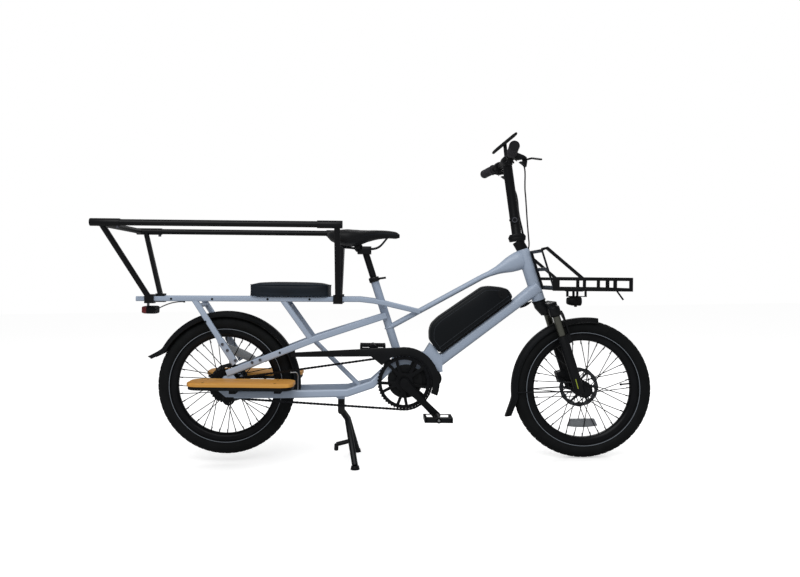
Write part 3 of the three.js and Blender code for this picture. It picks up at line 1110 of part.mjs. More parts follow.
const leverY = -(seatTube.collarRadius + seatLever.standOff);
const leverRoot = seatPoint(seatTube.collarHeight / 2).add(V(-seatLever.pivotBack, leverY, 0));
const leverTip = leverRoot.clone().add(V(seatLever.length, 0, seatLever.tipRise));
const leverRise = seatPoint(0).sub(seatPoint(seatLever.barrelHeight / 2));
const leverBarrel = rod(leverRoot.clone().sub(leverRise), leverRoot.clone().add(leverRise),
  Math.hypot(seatLever.pivotBack, leverY) - seatTube.collarRadius - 2 * seam, 14);
add("seat_lever", join(leverBarrel, loft([{ at: leverRoot, up: seatLever.depth / 2,
  side: seatLever.wall / 2 },
  { at: leverTip, up: seatLever.depth / 2, side: seatLever.wall / 2 }], { count: 10, power: 3 })), steel);

// Passenger railing: two side rails and a rear cross tube in one hoop, on four posts
function hoopSolid(grow = 0) {
  const r = railing;
  const sideTubes = sides.flatMap((side) => {
    const y = side * r.spread;
    return [rod(V(r.rearX, y, r.z), V(r.frontX, y, r.z), r.radius + grow, 14),
      rod(V(r.rearX, y, r.z), V(r.rearX + r.rearSleeve, y, r.z), r.sleeveRadius + grow, 14),
      rod(V(r.frontX - r.frontSleeve, y, r.z), V(r.frontX, y, r.z), r.sleeveRadius + grow, 14)];
  });
  return join(...sideTubes, crossRod(r.rearX + r.crossInset, r.z, -r.spread, r.spread, r.radius, 14));
}
add("top_rail", hoopSolid(), blackPaint);

for (const [place, shape] of Object.entries({ front: frontPost, rear: rearPost }))
  for (const side of sides) {
    const { clampLength, clampHeight, clampWall, footOut } = post;
    const y = side * (rack.spread + footOut);
    const z = railZ(shape.baseX);
    const clampHalf = rack.width / 2 + clampWall;
    const clamp = block(V(shape.baseX - clampLength / 2, side * rack.spread - clampHalf,
      z - clampHeight / 2),
      V(shape.baseX + clampLength / 2, side * rack.spread + clampHalf, z + clampHeight / 2));
    const tube = rod(V(shape.baseX, y, z), V(shape.topX, side * railing.spread, railing.z), post.radius,
      14);
    add(place + "_post_" + sideName[side], cut(join(clamp, tube), rackRail(side, seam), rackCutter,
      hoopSolid(seam)),
      blackPaint);
  }

// Cushion: crowned on top, with sides that draw in between its corners
function cushionSolid() {
  const c = cushion;
  const bottom = railZ(c.rearX + c.length) + rack.depth / 2 + c.lift;
  const across = 24;
  const levels = 8;
  const outline = roundProfile(across, 9);
  const rings = Array.from({ length: levels + 1 }, (_, k) => {
    const share = k / levels;
    const swell = 1 - 0.05 * Math.abs(2 * share - 1) ** 4 - (share === 1 ? 0.02 : 0);
    return outline.map((p) => {
      const draw = c.waist * Math.min((1 - Math.abs(p.x)) + (1 - Math.abs(p.y)),
        1) * Math.sin(Math.PI * share);
      return V(c.rearX + c.length / 2 + p.x * (c.length / 2 * swell - draw),
        p.y * (c.halfWidth * swell - draw),
        bottom + (c.height - c.crown) * share);
    });
  });
  const topCentre = V(c.rearX + c.length / 2, 0, bottom + c.height);
  for (const shrink of [0.9, 0.7, 0.4, 0.12])
    rings.push(outline.map((p) => V(topCentre.x + p.x * c.length / 2 * shrink, p.y * c.halfWidth * shrink,
      topCentre.z - c.crown * shrink ** 3)));
  return skin(rings, outline);
}
add("cushion", cushionSolid(), vinyl);

// Footboards: a wooden tread on a base whose arms lie on the lower tube
function boardOutline(side, inset = 0) {
  const half = board.length / 2 - inset;
  const halfWidth = board.width / 2 - inset;
  const round = board.cornerShare * board.width;
  const corners = [[1, -1, -90], [1, 1, 0], [-1, 1, 90], [-1, -1, 180]];
  return corners.flatMap(([endX, endY, start]) =>
    arc(board.rearX + board.length / 2 + endX * (half - round),
      side * (board.inner + board.width / 2) + endY * (halfWidth - round),
      round, start, start + 90, 5));
}

function flatSlab(outline, fromZ, toZ) {
  const shape = new THREE.Shape(outline.map(([x, y]) => new THREE.Vector2(x, y)));
  return new THREE.ExtrudeGeometry(shape, { depth: toZ - fromZ, bevelEnabled: false }).translate(0, 0,
    fromZ);
}

const baseTop = board.topZ - board.wood - seam;
for (const side of sides) {
  add("footboard_" + sideName[side], flatSlab(boardOutline(side), board.topZ - board.wood, board.topZ),
    bamboo);
  const arms = board.armX.map((x) => {
    const tubeTop = THREE.MathUtils.mapLinear(x, lowerTube.rearX, lowerTube.midX, lowerTube.rearZ,
      lowerTube.midZ)
      + lowerTube.depth / 2 + seam;
    const ys = [side * lowerTube.spread, side * (board.inner + board.width / 2)].sort((a, b) => a - b);
    return block(V(x - board.armWidth / 2, ys[0], tubeTop), V(x + board.armWidth / 2, ys[1],
      baseTop - board.base / 2));
  });
  const slab = flatSlab(boardOutline(side, board.wood / 4), baseTop - board.base, baseTop);
  add("footboard_base_" + sideName[side], cut(join(slab, ...arms), dropoutPlate(side, seam),
    lowerTubeCutter(side)), blackPlastic);
}

function lowerTubeCutter(side) {
  const t = lowerTube;
  const size = { up: t.depth / 2 + seam, side: t.width / 2 + seam };
  return loft([{ at: V(t.rearX, side * t.spread, t.rearZ), ...size }, { at: V(t.midX, side * t.spread,
    t.midZ), ...size }],
    { power: 4 });
}

// Battery on its rail along the down tube
const railBase = downTube.depth / 2 + seam;
add("battery_rail", block(V(batteryRail.start, -batteryRail.halfWidth, railBase),
  V(batteryRail.start + batteryRail.length, batteryRail.halfWidth,
    railBase + batteryRail.height)), blackPaint, alongDownTube);
const batteryBase = railBase + batteryRail.height + seam;
const batteryShape = new THREE.Shape(batteryOutlineShares.map(([along, up]) => new THREE.Vector2(
  battery.start + battery.edge + along * (battery.length - 2 * battery.edge),
  batteryBase + battery.edge + up * (battery.height - 2 * battery.edge))));
add("battery", new THREE.ExtrudeGeometry(batteryShape, {
  depth: 2 * (battery.halfWidth - battery.edge), bevelThickness: battery.edge, bevelSize: battery.edge,
  bevelSegments: 3,
}).rotateX(Math.PI / 2).translate(0, battery.halfWidth - battery.edge, 0), blackPlastic, alongDownTube);

// Tail light under the rack's rear cross member
const stemTop = railZ(rungXs[0]) - rack.rungDepth / 2 - seam;
add("tail_light", join(
  block(V(tailLight.x - tailLight.length / 2, -tailLight.halfWidth, tailLight.z - tailLight.height / 2),
    V(tailLight.x + tailLight.length / 2, tailLight.halfWidth, tailLight.z + tailLight.height / 2)),
  rod(V(rungXs[0], 0, tailLight.z), V(rungXs[0], 0, stemTop), tailLight.stemRadius, 12)), redLens);

// Front rack: a back plate on the head tube, a tray with open side panels, and two diagonals
function sidePanel(y) {
  const r = frontRack;
  const slab = block(V(r.rearX - r.bar, y - r.wall / 2, r.bottomZ), V(r.frontX, y + r.wall / 2, r.topZ));
  return cut(slab, ...rackWindowXs.map(([from, to]) => block(V(from, y - r.wall, r.bottomZ + r.bar),
    V(to, y + r.wall, r.topZ - r.bar))));
}

function rackBack() {
  const r = frontRack;
  const face = head.radius + seam;
  const outer = r.halfWidth + r.wall / 2;
  const middle = (r.backLow + r.backHigh) / 2;
  const slab = block(V(face, -outer, r.backLow), V(face + r.backWall, outer, r.backHigh));
  const windows = sides.flatMap((side) => {
    const [fromY, toY] = [side * r.spineHalf, side * (r.halfWidth - r.webBand)].sort((a, b) => a - b);
    return [[r.backLow + r.webBand, middle - r.webBand / 2], [middle + r.webBand / 2,
      r.backHigh - r.webBand]].map(
      ([low, high]) => block(V(face - overrun, fromY, low), V(face + r.backWall + overrun, toY, high)));
  });
  return levelled(cut(slab, ...windows), steering);
}

function rackSolid() {
  const r = frontRack;
  const zs = [r.bottomZ, r.topZ - r.bar];
  const frontBars = zs.map((z) => block(V(r.frontX - r.wall, -r.halfWidth, z), V(r.frontX, r.halfWidth,
    z + r.bar)));
  const slats = rackSlatXs.map((x) => block(V(x - r.slatWidth / 2, -r.halfWidth, r.bottomZ),
    V(x + r.slatWidth / 2, r.halfWidth, r.bottomZ + r.slatWall)));
  const corner = headPoint(r.backHigh);
  const diagonals = sides.map((side) => {
    const y = side * r.halfWidth;
    const size = { up: r.bar / 2, side: r.wall / 2 };
    const start = V(corner.x + head.radius, y, corner.z + r.bar / 2);
    return loft([{ at: start, ...size }, { at: start.clone().add(V(r.cornerForward, 0, r.bar / 2)),
      ...size },
      { at: V(r.diagonalX, y, r.topZ - r.bar / 2), ...size }], { count: 8, power: 6 });
  });
  return join(rackBack(), ...sides.map((side) => sidePanel(side * r.halfWidth)), ...frontBars, ...slats,
    ...diagonals);
}
add("front_rack", cut(rackSolid(), headTubeSolid(seam)), blackPaint);

add("headlight", join(
  loft([{ at: V(headlight.x - headlight.length / 2, 0, headlight.z), up: headlight.height / 2.6,
    side: headlight.halfWidth * 0.8 },
    { at: V(headlight.x, 0, headlight.z), up: headlight.height / 2, side: headlight.halfWidth },
    { at: V(headlight.x + headlight.length / 2, 0, headlight.z), up: headlight.height / 2,
      side: headlight.halfWidth }],
  { count: 16, power: 3 }),
  block(V(headlight.x - headlight.neckHalf, -headlight.neckHalf, headlight.z),
    V(headlight.x + headlight.neckHalf, headlight.neckHalf,
      frontRack.bottomZ - seam - headlight.lugWall / 2)),
  block(V(headlight.x - headlight.lugLength / 2, -headlight.lugHalf,
    frontRack.bottomZ - seam - headlight.lugWall),
    V(headlight.x + headlight.lugLength / 2, headlight.lugHalf, frontRack.bottomZ - seam))), blackPlastic);

// Cables, each along its whole route from the bar to where it enters the frame
const hoseRadius = 2.6;
const bundleRadius = 4;
const rightHoseRoute = [[1072, -178, 810], [1077, -169, 808], [1081, -162, 797], [1084, -153, 780],
  [1087, -137, 756], [1091, -120, 731], [1097, -103, 707], [1104, -84, 669], [1111, -64, 631],
  [1118, -46, 595], [1124, -32, 563], [1128, -22, 541], [1127, -15, 524], [1118, -8, 513]];
const leftBundleRoute = [[1045, 177, 839], [1053, 165, 837], [1063, 154, 826], [1074, 141, 806],
  [1084, 124, 783], [1092, 103, 762], [1097, 82, 738], [1099, 63, 708], [1100, 50, 672], [1105, 43, 636],
  [1113, 41, 602], [1119, 41, 570], [1120, 38, 542], [1116, 31, 525], [1111, 17, 514]];
const perchFace = perch.y - perch.halfWidth - seam;
const perchSpace = (side) => levelled(block(
  V(-collar.length, Math.min(side * perchFace, side * bar.halfLength),
    handlepost.length - 2 * collar.length),
  V(collar.length, Math.max(side * perchFace, side * bar.halfLength),
    handlepost.length + collar.length)), postFrame);
const routed = (route, radius, steps) =>
  cut(curvedTube(route.map((p) => V(...p)), radius, steps), headTubeSolid(seam), perchSpace(-1),
    perchSpace(1));
add("right_brake_hose", routed(rightHoseRoute, hoseRadius, 28), rubber);
add("left_cables", routed(leftBundleRoute, bundleRadius, 30), rubber);

// Pitch the bike onto its stand, stand it on the ground and centre it
bike.rotation.y = standPitch;
bike.updateMatrixWorld(true);
const bounds = new THREE.Box3().setFromObject(bike, true);
bike.position.set(-(bounds.min.x + bounds.max.x) / 2, -(bounds.min.y + bounds.max.y) / 2, -bounds.min.z);

const longtail = new THREE.Group();
longtail.add(bike);
export default longtail;
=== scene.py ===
"""Looks for the longtail cargo bike: finishes for its CAD nodes, and the pieces that need more than a plain solid.

Lengths are in metres. A "level" place is measured from the rear axle on a level bike, with +X to the front wheel,
+Y to the rider's left and +Z up; level() turns it into the frame, where the bike leans on its stand. A part is a
pair of points and faces.
"""
import json
import math

import bmesh
import bpy
import numpy as np
from bpy.props import FloatProperty, IntProperty, StringProperty
from mathutils import Matrix, Vector


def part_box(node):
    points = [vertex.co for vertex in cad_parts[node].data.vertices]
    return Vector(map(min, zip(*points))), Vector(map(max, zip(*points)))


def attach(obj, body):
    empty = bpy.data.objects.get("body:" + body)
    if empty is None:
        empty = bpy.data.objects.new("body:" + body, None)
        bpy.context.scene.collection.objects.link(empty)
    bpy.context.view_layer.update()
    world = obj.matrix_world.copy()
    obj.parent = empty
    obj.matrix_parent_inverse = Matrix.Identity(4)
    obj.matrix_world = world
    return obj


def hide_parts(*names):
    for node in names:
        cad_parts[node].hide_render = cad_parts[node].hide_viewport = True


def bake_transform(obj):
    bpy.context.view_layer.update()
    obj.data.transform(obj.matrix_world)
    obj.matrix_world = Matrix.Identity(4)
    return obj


bl_info = {
    "name": "Longtail Cargo Bike",
    "version": (1, 0, 0),
    "blender": (4, 5, 0),
    "location": "View3D > Sidebar > Bike",
    "description": "Finishes a longtail cargo bike and adds its fine pieces",
    "category": "Add Mesh",
}

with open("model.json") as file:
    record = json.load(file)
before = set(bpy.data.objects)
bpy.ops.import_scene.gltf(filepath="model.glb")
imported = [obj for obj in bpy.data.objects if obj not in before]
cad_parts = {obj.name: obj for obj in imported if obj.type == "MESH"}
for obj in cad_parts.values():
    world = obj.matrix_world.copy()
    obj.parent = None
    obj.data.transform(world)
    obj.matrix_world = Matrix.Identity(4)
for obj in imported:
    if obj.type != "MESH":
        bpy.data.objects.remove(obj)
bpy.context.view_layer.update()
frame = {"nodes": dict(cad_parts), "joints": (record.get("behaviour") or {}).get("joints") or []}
JOINTS = {joint["name"]: joint for joint in frame["joints"]}
NODES = frame["nodes"]
TAU = 2 * math.pi
SIDES = (-1, 1)
SIDE_NAME = {-1: "right", 1: "left"}

# ---- Frames -------------------------------------------------------------------------------------

REAR_AXLE = np.array(JOINTS["rear_wheel_spin"]["pos_m"])
FRONT_AXLE = np.array(JOINTS["front_wheel_spin"]["pos_m"])
PITCH = math.atan2(REAR_AXLE[2] - FRONT_AXLE[2], FRONT_AXLE[0] - REAR_AXLE[0])
WHEELBASE = float(np.linalg.norm(FRONT_AXLE - REAR_AXLE))


def turn_y(points, angle, origin=(0, 0, 0)):
    """Turns points about Y by angle, nose down where it is positive, then moves them to origin."""
    p = np.asarray(points, float)
    c, s = math.cos(angle), math.sin(angle)
    turned = np.stack((p[..., 0] * c + p[..., 2] * s, p[..., 1], -p[..., 0] * s + p[..., 2] * c), -1)
    return turned + np.asarray(origin, float)


def level(points):
    """Level bike to frame."""
    return turn_y(points, PITCH, REAR_AXLE)


HEAD_LEAN = math.radians(18)
HEAD_FOOT = (1.17192, 0, 0.327)  # lower end of the head tube, level
POST_DEGREES = 8.3
POST_LEAN = math.radians(POST_DEGREES)
POST_FOOT = (1.087, 0, 0.567)  # hinge of the handlepost, level
DOWN_RISE = math.radians(37.5)
DOWN_FOOT = (0.8086, 0, 0.1055)  # lower end of the down tube, level


def steering(points):
    """Steering frame (origin at the head tube's lower end, Z up its axis) to frame."""
    return level(turn_y(points, -HEAD_LEAN, HEAD_FOOT))


def on_post(points):
    """Handlepost frame (origin at its hinge, Z up the post) to frame."""
    return level(turn_y(points, -POST_LEAN, POST_FOOT))


def on_down_tube(points):
    """Down tube frame (X up the tube, Z out of it) to frame."""
    return level(turn_y(points, -DOWN_RISE, DOWN_FOOT))


def front_wheel(points):
    """Front wheel's own frame (origin at its axle) to frame."""
    return np.asarray(points, float) + FRONT_AXLE


def rear_wheel(points):
    """Rear wheel's own frame to frame."""
    return np.asarray(points, float) + REAR_AXLE


def as_is(points):
    """Points that are in the frame already."""
    return np.asarray(points, float)


WHEELS = {"front": front_wheel, "rear": rear_wheel}

# ---- Surfaces -----------------------------------------------------------------------------------


def build(name, part, finish, body, replaces=(), place=level, bevel=0.0, recalc=True):
    """Puts a part into a mesh object that rides on a body, or on none where no body is given. Place turns its points
    into the frame, and bevel rounds its sharp edges."""
    verts, faces = part
    mesh = bpy.data.meshes.new(name)
    mesh.from_pydata(place(verts).reshape(-1, 3).tolist(), [], [list(map(int, f)) for f in faces])
    mesh.update()
    if recalc:
        outward(mesh)
    mesh.polygons.foreach_set("use_smooth", [True] * len(mesh.polygons))
    obj = bpy.data.objects.new(name, mesh)
    bpy.context.scene.collection.objects.link(obj)
    mesh.materials.append(M[finish])
    dress(obj, bevel)
    if body:
        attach(obj, body)
    if replaces:
        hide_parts(*replaces)
    return obj


def outward(mesh):
    """Merges doubled points and turns every face outwards."""
    work = bmesh.new()
    work.from_mesh(mesh)
    bmesh.ops.remove_doubles(work, verts=work.verts, dist=1e-6)
    bmesh.ops.recalc_face_normals(work, faces=work.faces)
    work.to_mesh(mesh)
    work.free()


def dress(obj, bevel=0.0, sharp=35):
    """Rounds the edges over 30 degrees, and keeps the shading crisp across those over sharp degrees."""
    if bevel:
        edge = obj.modifiers.new("rounded_edges", "BEVEL")
        edge.width = bevel
        edge.segments = 2
        edge.limit_method = "ANGLE"
        edge.angle_limit = math.radians(30)
        edge.harden_normals = False
    split = obj.modifiers.new("crisp_edges", "EDGE_SPLIT")
    split.split_angle = math.radians(sharp)


def grid(rows, cols, wrap_rows=False):
    """Quads over rows by cols points: every row is a closed ring, and the rows too may close into a ring."""
    a, b = np.meshgrid(np.arange(rows if wrap_rows else rows - 1), np.arange(cols), indexing="ij")
    a1, b1 = (a + 1) % rows, (b + 1) % cols
    return np.stack((a * cols + b, a * cols + b1, a1 * cols + b1, a1 * cols + b), -1).reshape(-1, 4)


def capped(rows, cols):
    """Faces of a tube of rows rings of cols points, with an end face on each end ring."""
    return grid(rows, cols).tolist() + [list(range(cols))[::-1], list(range((rows - 1) * cols, rows * cols))]


def joined(parts):
    """Several parts as one, with the faces' numbers moved along."""
    verts, faces, start = [], [], 0
    for points, quads in parts:
        points = np.asarray(points, float).reshape(-1, 3)
        verts.append(points)
        faces.extend([[int(i) + start for i in face] for face in quads])
        start += len(points)
    return np.concatenate(verts), faces


def moved(part, step):
    """A part moved by a step."""
    return part[0] + np.asarray(step, float), part[1]


def circle(count):
    """Unit circle as (count, 2)."""
    angle = TAU * np.arange(count) / count
    return np.stack((np.cos(angle), np.sin(angle)), -1)


def squircle(count, power):
    """Superellipse of unit half sizes: |x|^power + |y|^power = 1."""
    angle = TAU * (np.arange(count) + 0.5) / count
    c, s = np.cos(angle), np.sin(angle)
    return np.stack((np.sign(c) * np.abs(c) ** (2 / power), np.sign(s) * np.abs(s) ** (2 / power)), -1)


def sections(count, power, tall, wide):
    """A superellipse for each station of a path, from its half sizes along the path's normal and side."""
    return squircle(count, power)[None] * np.stack(np.broadcast_arrays(tall, wide), -1)[:, None]


def polar(radius, angle, y=0.0):
    """Points at a radius and an angle about Y. Any of the three may be an array."""
    return np.stack(np.broadcast_arrays(radius * np.cos(angle), y, radius * np.sin(angle)), -1)


def at_y(outline, y):
    """An XZ outline as points at one Y."""
    return np.stack((outline[:, 0], np.full(len(outline), y), outline[:, 1]), -1)


def at_z(outline, z):
    """An XY outline as points at one Z."""
    return np.stack((outline[:, 0], outline[:, 1], np.full(len(outline), z)), -1)


def turned(profile, count=64, axis="Y"):
    """A (radius, along) profile turned about an axis: the ring at angle t is (radius cos t, radius sin t)."""
    profile = np.asarray(profile, float)
    across = circle(count)[:, None, :] * profile[None, :, 0:1]
    along = np.broadcast_to(profile[None, :, 1], across.shape[:2])
    order = (across[..., 0], along, across[..., 1]) if axis == "Y" else (across[..., 0], across[..., 1], along)
    return np.stack(order, -1).reshape(-1, 3), grid(count, len(profile), True)


def disc(radius, low, high, bore, edge=0.0, count=48):
    """A disc or ring about Y with its outer corners cut by edge."""
    return turned([(bore, low), (radius - edge, low), (radius, low + edge), (radius, high - edge),
                   (radius - edge, high), (bore, high)], count)


def along_path(path, section, up=(0, 1, 0)):
    """A section, or one per station, carried along a path: the point (u, v) goes u along the path's normal and v
    along its side, where side is up made square to the path."""
    path, up, section = (np.asarray(a, float) for a in (path, up, section))
    tangent = np.gradient(path, axis=0)
    tangent /= np.linalg.norm(tangent, axis=1, keepdims=True)
    side = up - tangent * (tangent @ up)[:, None]
    side /= np.linalg.norm(side, axis=1, keepdims=True)
    normal = np.cross(side, tangent)
    if section.ndim == 2:
        section = np.broadcast_to(section, (len(path),) + section.shape)
    points = path[:, None] + normal[:, None] * section[..., 0:1] + side[:, None] * section[..., 1:2]
    return points.reshape(-1, 3)


def sweep(path, section, up=(0, 1, 0)):
    """A section carried along a path, as a part with its ends closed."""
    return along_path(path, section, up), capped(len(path), np.shape(section)[-2])


def hoop(loop, radius, sides, up=(0, 1, 0)):
    """A round cord along a closed loop of points."""
    closed = np.vstack((loop, loop[:1]))
    return along_path(closed, circle(sides) * radius, up), grid(len(closed), sides)


def square_to(along):
    """Two unit directions square to a unit direction and to each other."""
    aside = np.cross(along, (0, 1, 0) if abs(along[1]) < 0.9 else (1, 0, 0))
    aside /= np.linalg.norm(aside)
    return aside, np.cross(along, aside)


def rod(start, end, radius, count=16, ends=0.0):
    """A round rod from start to end, its end corners cut by ends."""
    start, end = np.asarray(start, float), np.asarray(end, float)
    length = np.linalg.norm(end - start)
    along = (end - start) / length
    aside, other = square_to(along)
    steps = np.array([0, ends, length - ends, length] if ends else [0, length])
    radii = np.array([radius - ends, radius, radius, radius - ends] if ends else [radius, radius])
    ring = circle(count)
    flat = ring[:, 0:1] * aside + ring[:, 1:2] * other
    points = start + along * steps[:, None, None] + flat[None] * radii[:, None, None]
    return points.reshape(-1, 3), capped(len(steps), count)


def way_along(points):
    """Distance along a line of points, from 0 at its first."""
    return np.concatenate(([0], np.cumsum(np.linalg.norm(np.diff(points, axis=0), axis=1))))


def evenly(points, count):
    """Count points at even steps along a line of points."""
    way = way_along(points)
    even = np.linspace(0, way[-1], count)
    return np.stack([np.interp(even, way, column) for column in points.T], -1)


def catmull(points, count):
    """Smooth curve through points: centripetal Catmull-Rom, with count points at even steps of its length."""
    p = np.asarray(points, float)
    p = np.vstack((2 * p[0] - p[1], p, 2 * p[-1] - p[-2]))
    knots = np.concatenate(([0], np.cumsum(np.linalg.norm(np.diff(p, axis=0), axis=1) ** 0.5)))
    dense = []
    for k in range(1, len(p) - 2):
        t = np.linspace(knots[k], knots[k + 1], 24, endpoint=k == len(p) - 3)[:, None]
        t0, t1, t2, t3 = knots[k - 1:k + 3]
        a1 = ((t1 - t) * p[k - 1] + (t - t0) * p[k]) / (t1 - t0)
        a2 = ((t2 - t) * p[k] + (t - t1) * p[k + 1]) / (t2 - t1)
        a3 = ((t3 - t) * p[k + 1] + (t - t2) * p[k + 2]) / (t3 - t2)
        b1 = ((t2 - t) * a1 + (t - t0) * a2) / (t2 - t0)
        b2 = ((t3 - t) * a2 + (t - t1) * a3) / (t3 - t1)
        dense.append(((t2 - t) * b1 + (t - t1) * b2) / (t2 - t1))
    return evenly(np.concatenate(dense), count)


def tube(points, radius, count=60, sides=12):
    """A round tube along a smooth curve through points."""
    return sweep(catmull(points, count), circle(sides) * radius)


def slab(low, high):
    """A box from its lowest and highest corners, to be given rounded edges."""
    points = [(x, y, z) for x in (low[0], high[0]) for y in (low[1], high[1]) for z in (low[2], high[2])]
    return np.array(points), [(0, 1, 3, 2), (4, 6, 7, 5), (0, 4, 5, 1), (2, 3, 7, 6), (0, 2, 6, 4), (1, 5, 7, 3)]


def plate(outline, low, high):
    """A plate of XZ outline between two Y values."""
    outline = np.asarray(outline, float)
    return np.concatenate([at_y(outline, y) for y in (low, high)]), capped(2, len(outline))


def toothed(teeth, outer, root, bore, low, high):
    """A toothed disc about Y: the outline swings between root and outer, four points a tooth, round a bore."""
    share = np.tile([0.0, 0.75, 0.75, 0.0], teeth)
    radius = root + (outer - root) * share
    angle = TAU * (np.arange(4 * teeth) + 0.5) / (4 * teeth)
    middle, taper = (low + high) / 2, (high - low) * 0.5
    top = np.where(share > 0, taper * 0.45, taper)
    layers = [(bore, -taper), (radius, -top), (radius, top), (bore, taper)]
    points = np.stack([polar(r, angle, middle + y) for r, y in layers], 1)
    return points.reshape(-1, 3), grid(4 * teeth, 4, True)


def bolt(place, direction, radius, height):
    """A cap head with a round socket, its seat at place: a profile turned about direction."""
    edge, depth, axis = radius * 0.12, height * 0.45, 0.0002
    profile = np.array([(radius, 0), (radius, height - edge), (radius - edge, height), (radius * 0.58, height),
                        (radius * 0.5, depth), (axis, depth), (axis, 0)])
    along = np.asarray(direction, float) / np.linalg.norm(direction)
    aside, other = square_to(along)
    ring = circle(18)
    flat = ring[:, 0:1] * aside + ring[:, 1:2] * other
    points = np.asarray(place, float) + flat[:, None] * profile[None, :, 0:1] + along * profile[None, :, 1:2]
    return points.reshape(-1, 3), grid(len(ring), len(profile), True)


# ---- Materials ----------------------------------------------------------------------------------

M = {}


def linear(hex_value):
    """sRGB hex to linear RGBA."""
    rgb = [int(hex_value[i:i + 2], 16) / 255 for i in (0, 2, 4)]
    return tuple(c / 12.92 if c <= 0.04045 else ((c + 0.055) / 1.055) ** 2.4 for c in rgb) + (1.0,)


def add_node(tree, kind, inputs=None, **settings):
    """Adds a node: settings are its own, and inputs maps a socket to a value or to the socket that feeds it."""
    node = tree.nodes.new(kind)
    for key, value in settings.items():
        setattr(node, key, value)
    for socket, value in (inputs or {}).items():
        if isinstance(value, bpy.types.NodeSocket):
            tree.links.new(value, node.inputs[socket])
        else:
            node.inputs[socket].default_value = value
    return node


def opened(made):
    """A material's node tree, its shader and its Object coordinates."""
    tree = made.node_tree
    place = add_node(tree, "ShaderNodeTexCoord")
    return tree, tree.nodes["Principled BSDF"], place.outputs["Object"]


def colour_over(tree, shader, factor, second, **settings):
    """Mixes a second colour over the one that feeds the shader."""
    old = shader.inputs["Base Color"].links[0].from_socket
    mix = add_node(tree, "ShaderNodeMix", {"Factor": factor, "A": old, "B": second}, data_type="RGBA", **settings)
    tree.links.new(mix.outputs["Result"], shader.inputs["Base Color"])


def material(name, base, second, roughness=0.5, metallic=0.0, blotch=0.06, grain=0.0012, relief=0.00002, coat=0.0,
             rough_spread=0.06, stretch=(1, 1, 1), blotch_share=0.5, sheen=0.0, specular=0.5):
    """A finish from two noises on Object coordinates: a wide one, blotch metres across, moves the colour from base
    to second and the roughness; a fine one, grain metres across, is the relief, relief metres deep."""
    made = bpy.data.materials.new(name)
    made.use_nodes = True
    tree, shader, place = opened(made)
    mapped = add_node(tree, "ShaderNodeMapping", {"Vector": place, "Scale": stretch}).outputs[0]
    wide = add_node(tree, "ShaderNodeTexNoise", {"Vector": mapped, "Scale": 1 / blotch, "Detail": 3.0})
    fine = add_node(tree, "ShaderNodeTexNoise", {"Vector": mapped, "Scale": 1 / grain, "Detail": 2.0}).outputs["Fac"]
    spread = add_node(tree, "ShaderNodeMapRange", {"Value": wide.outputs["Fac"], "From Min": 0.35, "From Max": 0.65,
                                                   "To Min": 0.0, "To Max": blotch_share})
    mix = add_node(tree, "ShaderNodeMix", {"Factor": spread.outputs[0], "A": linear(base), "B": linear(second)},
                   data_type="RGBA")
    rough = add_node(tree, "ShaderNodeMapRange", {"Value": fine, "To Min": roughness - rough_spread,
                                                  "To Max": roughness + rough_spread})
    bump = add_node(tree, "ShaderNodeBump", {"Height": fine, "Distance": relief, "Strength": 1.0})
    for socket, value in (("Base Color", mix.outputs["Result"]), ("Roughness", rough.outputs[0]),
                          ("Normal", bump.outputs[0])):
        tree.links.new(value, shader.inputs[socket])
    for socket, value in (("Metallic", metallic), ("Coat Weight", coat), ("Coat Roughness", 0.12),
                          ("Sheen Weight", sheen), ("Specular IOR Level", specular)):
        shader.inputs[socket].default_value = value
    return made


def pearl_enamel(name, base, second):
    """Pearl enamel on aluminium tube: a smooth clear coat over a pale colour that shifts a little."""
    return material(name, base, second, roughness=0.36, rough_spread=0.04, blotch=0.35, grain=0.0016, relief=0.000008,
                    coat=0.3, specular=0.35)


def two_tone(made, start, end, tone, metal=False):
    """Another colour, and bare metal if asked, wherever a point is past start in the direction of end."""
    tree, shader, here = opened(made)
    way = np.subtract(end, start)
    reach = add_node(tree, "ShaderNodeVectorMath", {0: here, 1: tuple(way)}, operation="DOT_PRODUCT")
    past = add_node(tree, "ShaderNodeMath", {0: reach.outputs["Value"], 1: float(np.dot(start, way))},
                    operation="GREATER_THAN").outputs[0]
    colour_over(tree, shader, past, linear(tone))
    if metal:
        tree.links.new(past, shader.inputs["Metallic"])
    return made


def bamboo():
    """Oiled bamboo board: long narrow grain along X, with strips side by side across it."""
    made = material("oiled_bamboo", "F4B452", "CF8E3C", roughness=0.42, blotch=0.05, grain=0.0016, relief=0.00003,
                    stretch=(0.08, 1, 1), blotch_share=0.8)
    tree, shader, place = opened(made)
    strips = add_node(tree, "ShaderNodeTexWave", {"Vector": place, "Scale": 16.0, "Distortion": 1.2, "Detail": 2.0,
                                                  "Detail Scale": 3.0}, bands_direction="Y")
    colour_over(tree, shader, 0.2, strips.outputs["Color"], blend_type="MULTIPLY")
    return made


def vinyl(name, base, second):
    """Grained vinyl over foam: cells about 1.6 mm across pressed into the skin, drawn coarse enough to show."""
    made = material(name, base, second, blotch=0.05, grain=0.0016, relief=0.00006, sheen=0.05, specular=0.25)
    tree, shader, place = opened(made)
    cells = add_node(tree, "ShaderNodeTexVoronoi", {"Vector": place, "Scale": 620.0}).outputs["Distance"]
    bump = add_node(tree, "ShaderNodeBump", {"Height": cells, "Distance": 0.00012, "Strength": 0.6})
    tree.links.new(bump.outputs[0], shader.inputs["Normal"])
    return made


SEAT_LEAN = math.radians(18.27)
COLLAR_DROP = 0.0172  # the collar's height under the seat tube's top
COLLAR_FOOT = np.array((0.5478, 0, 0.4097)) - COLLAR_DROP * np.array((-math.sin(SEAT_LEAN), 0, math.cos(SEAT_LEAN)))
BRACKET_TOP = -0.045  # the stand bracket's top, level
SOCKET_END = -0.0665  # lower end of the crown's sockets, down the steering axis


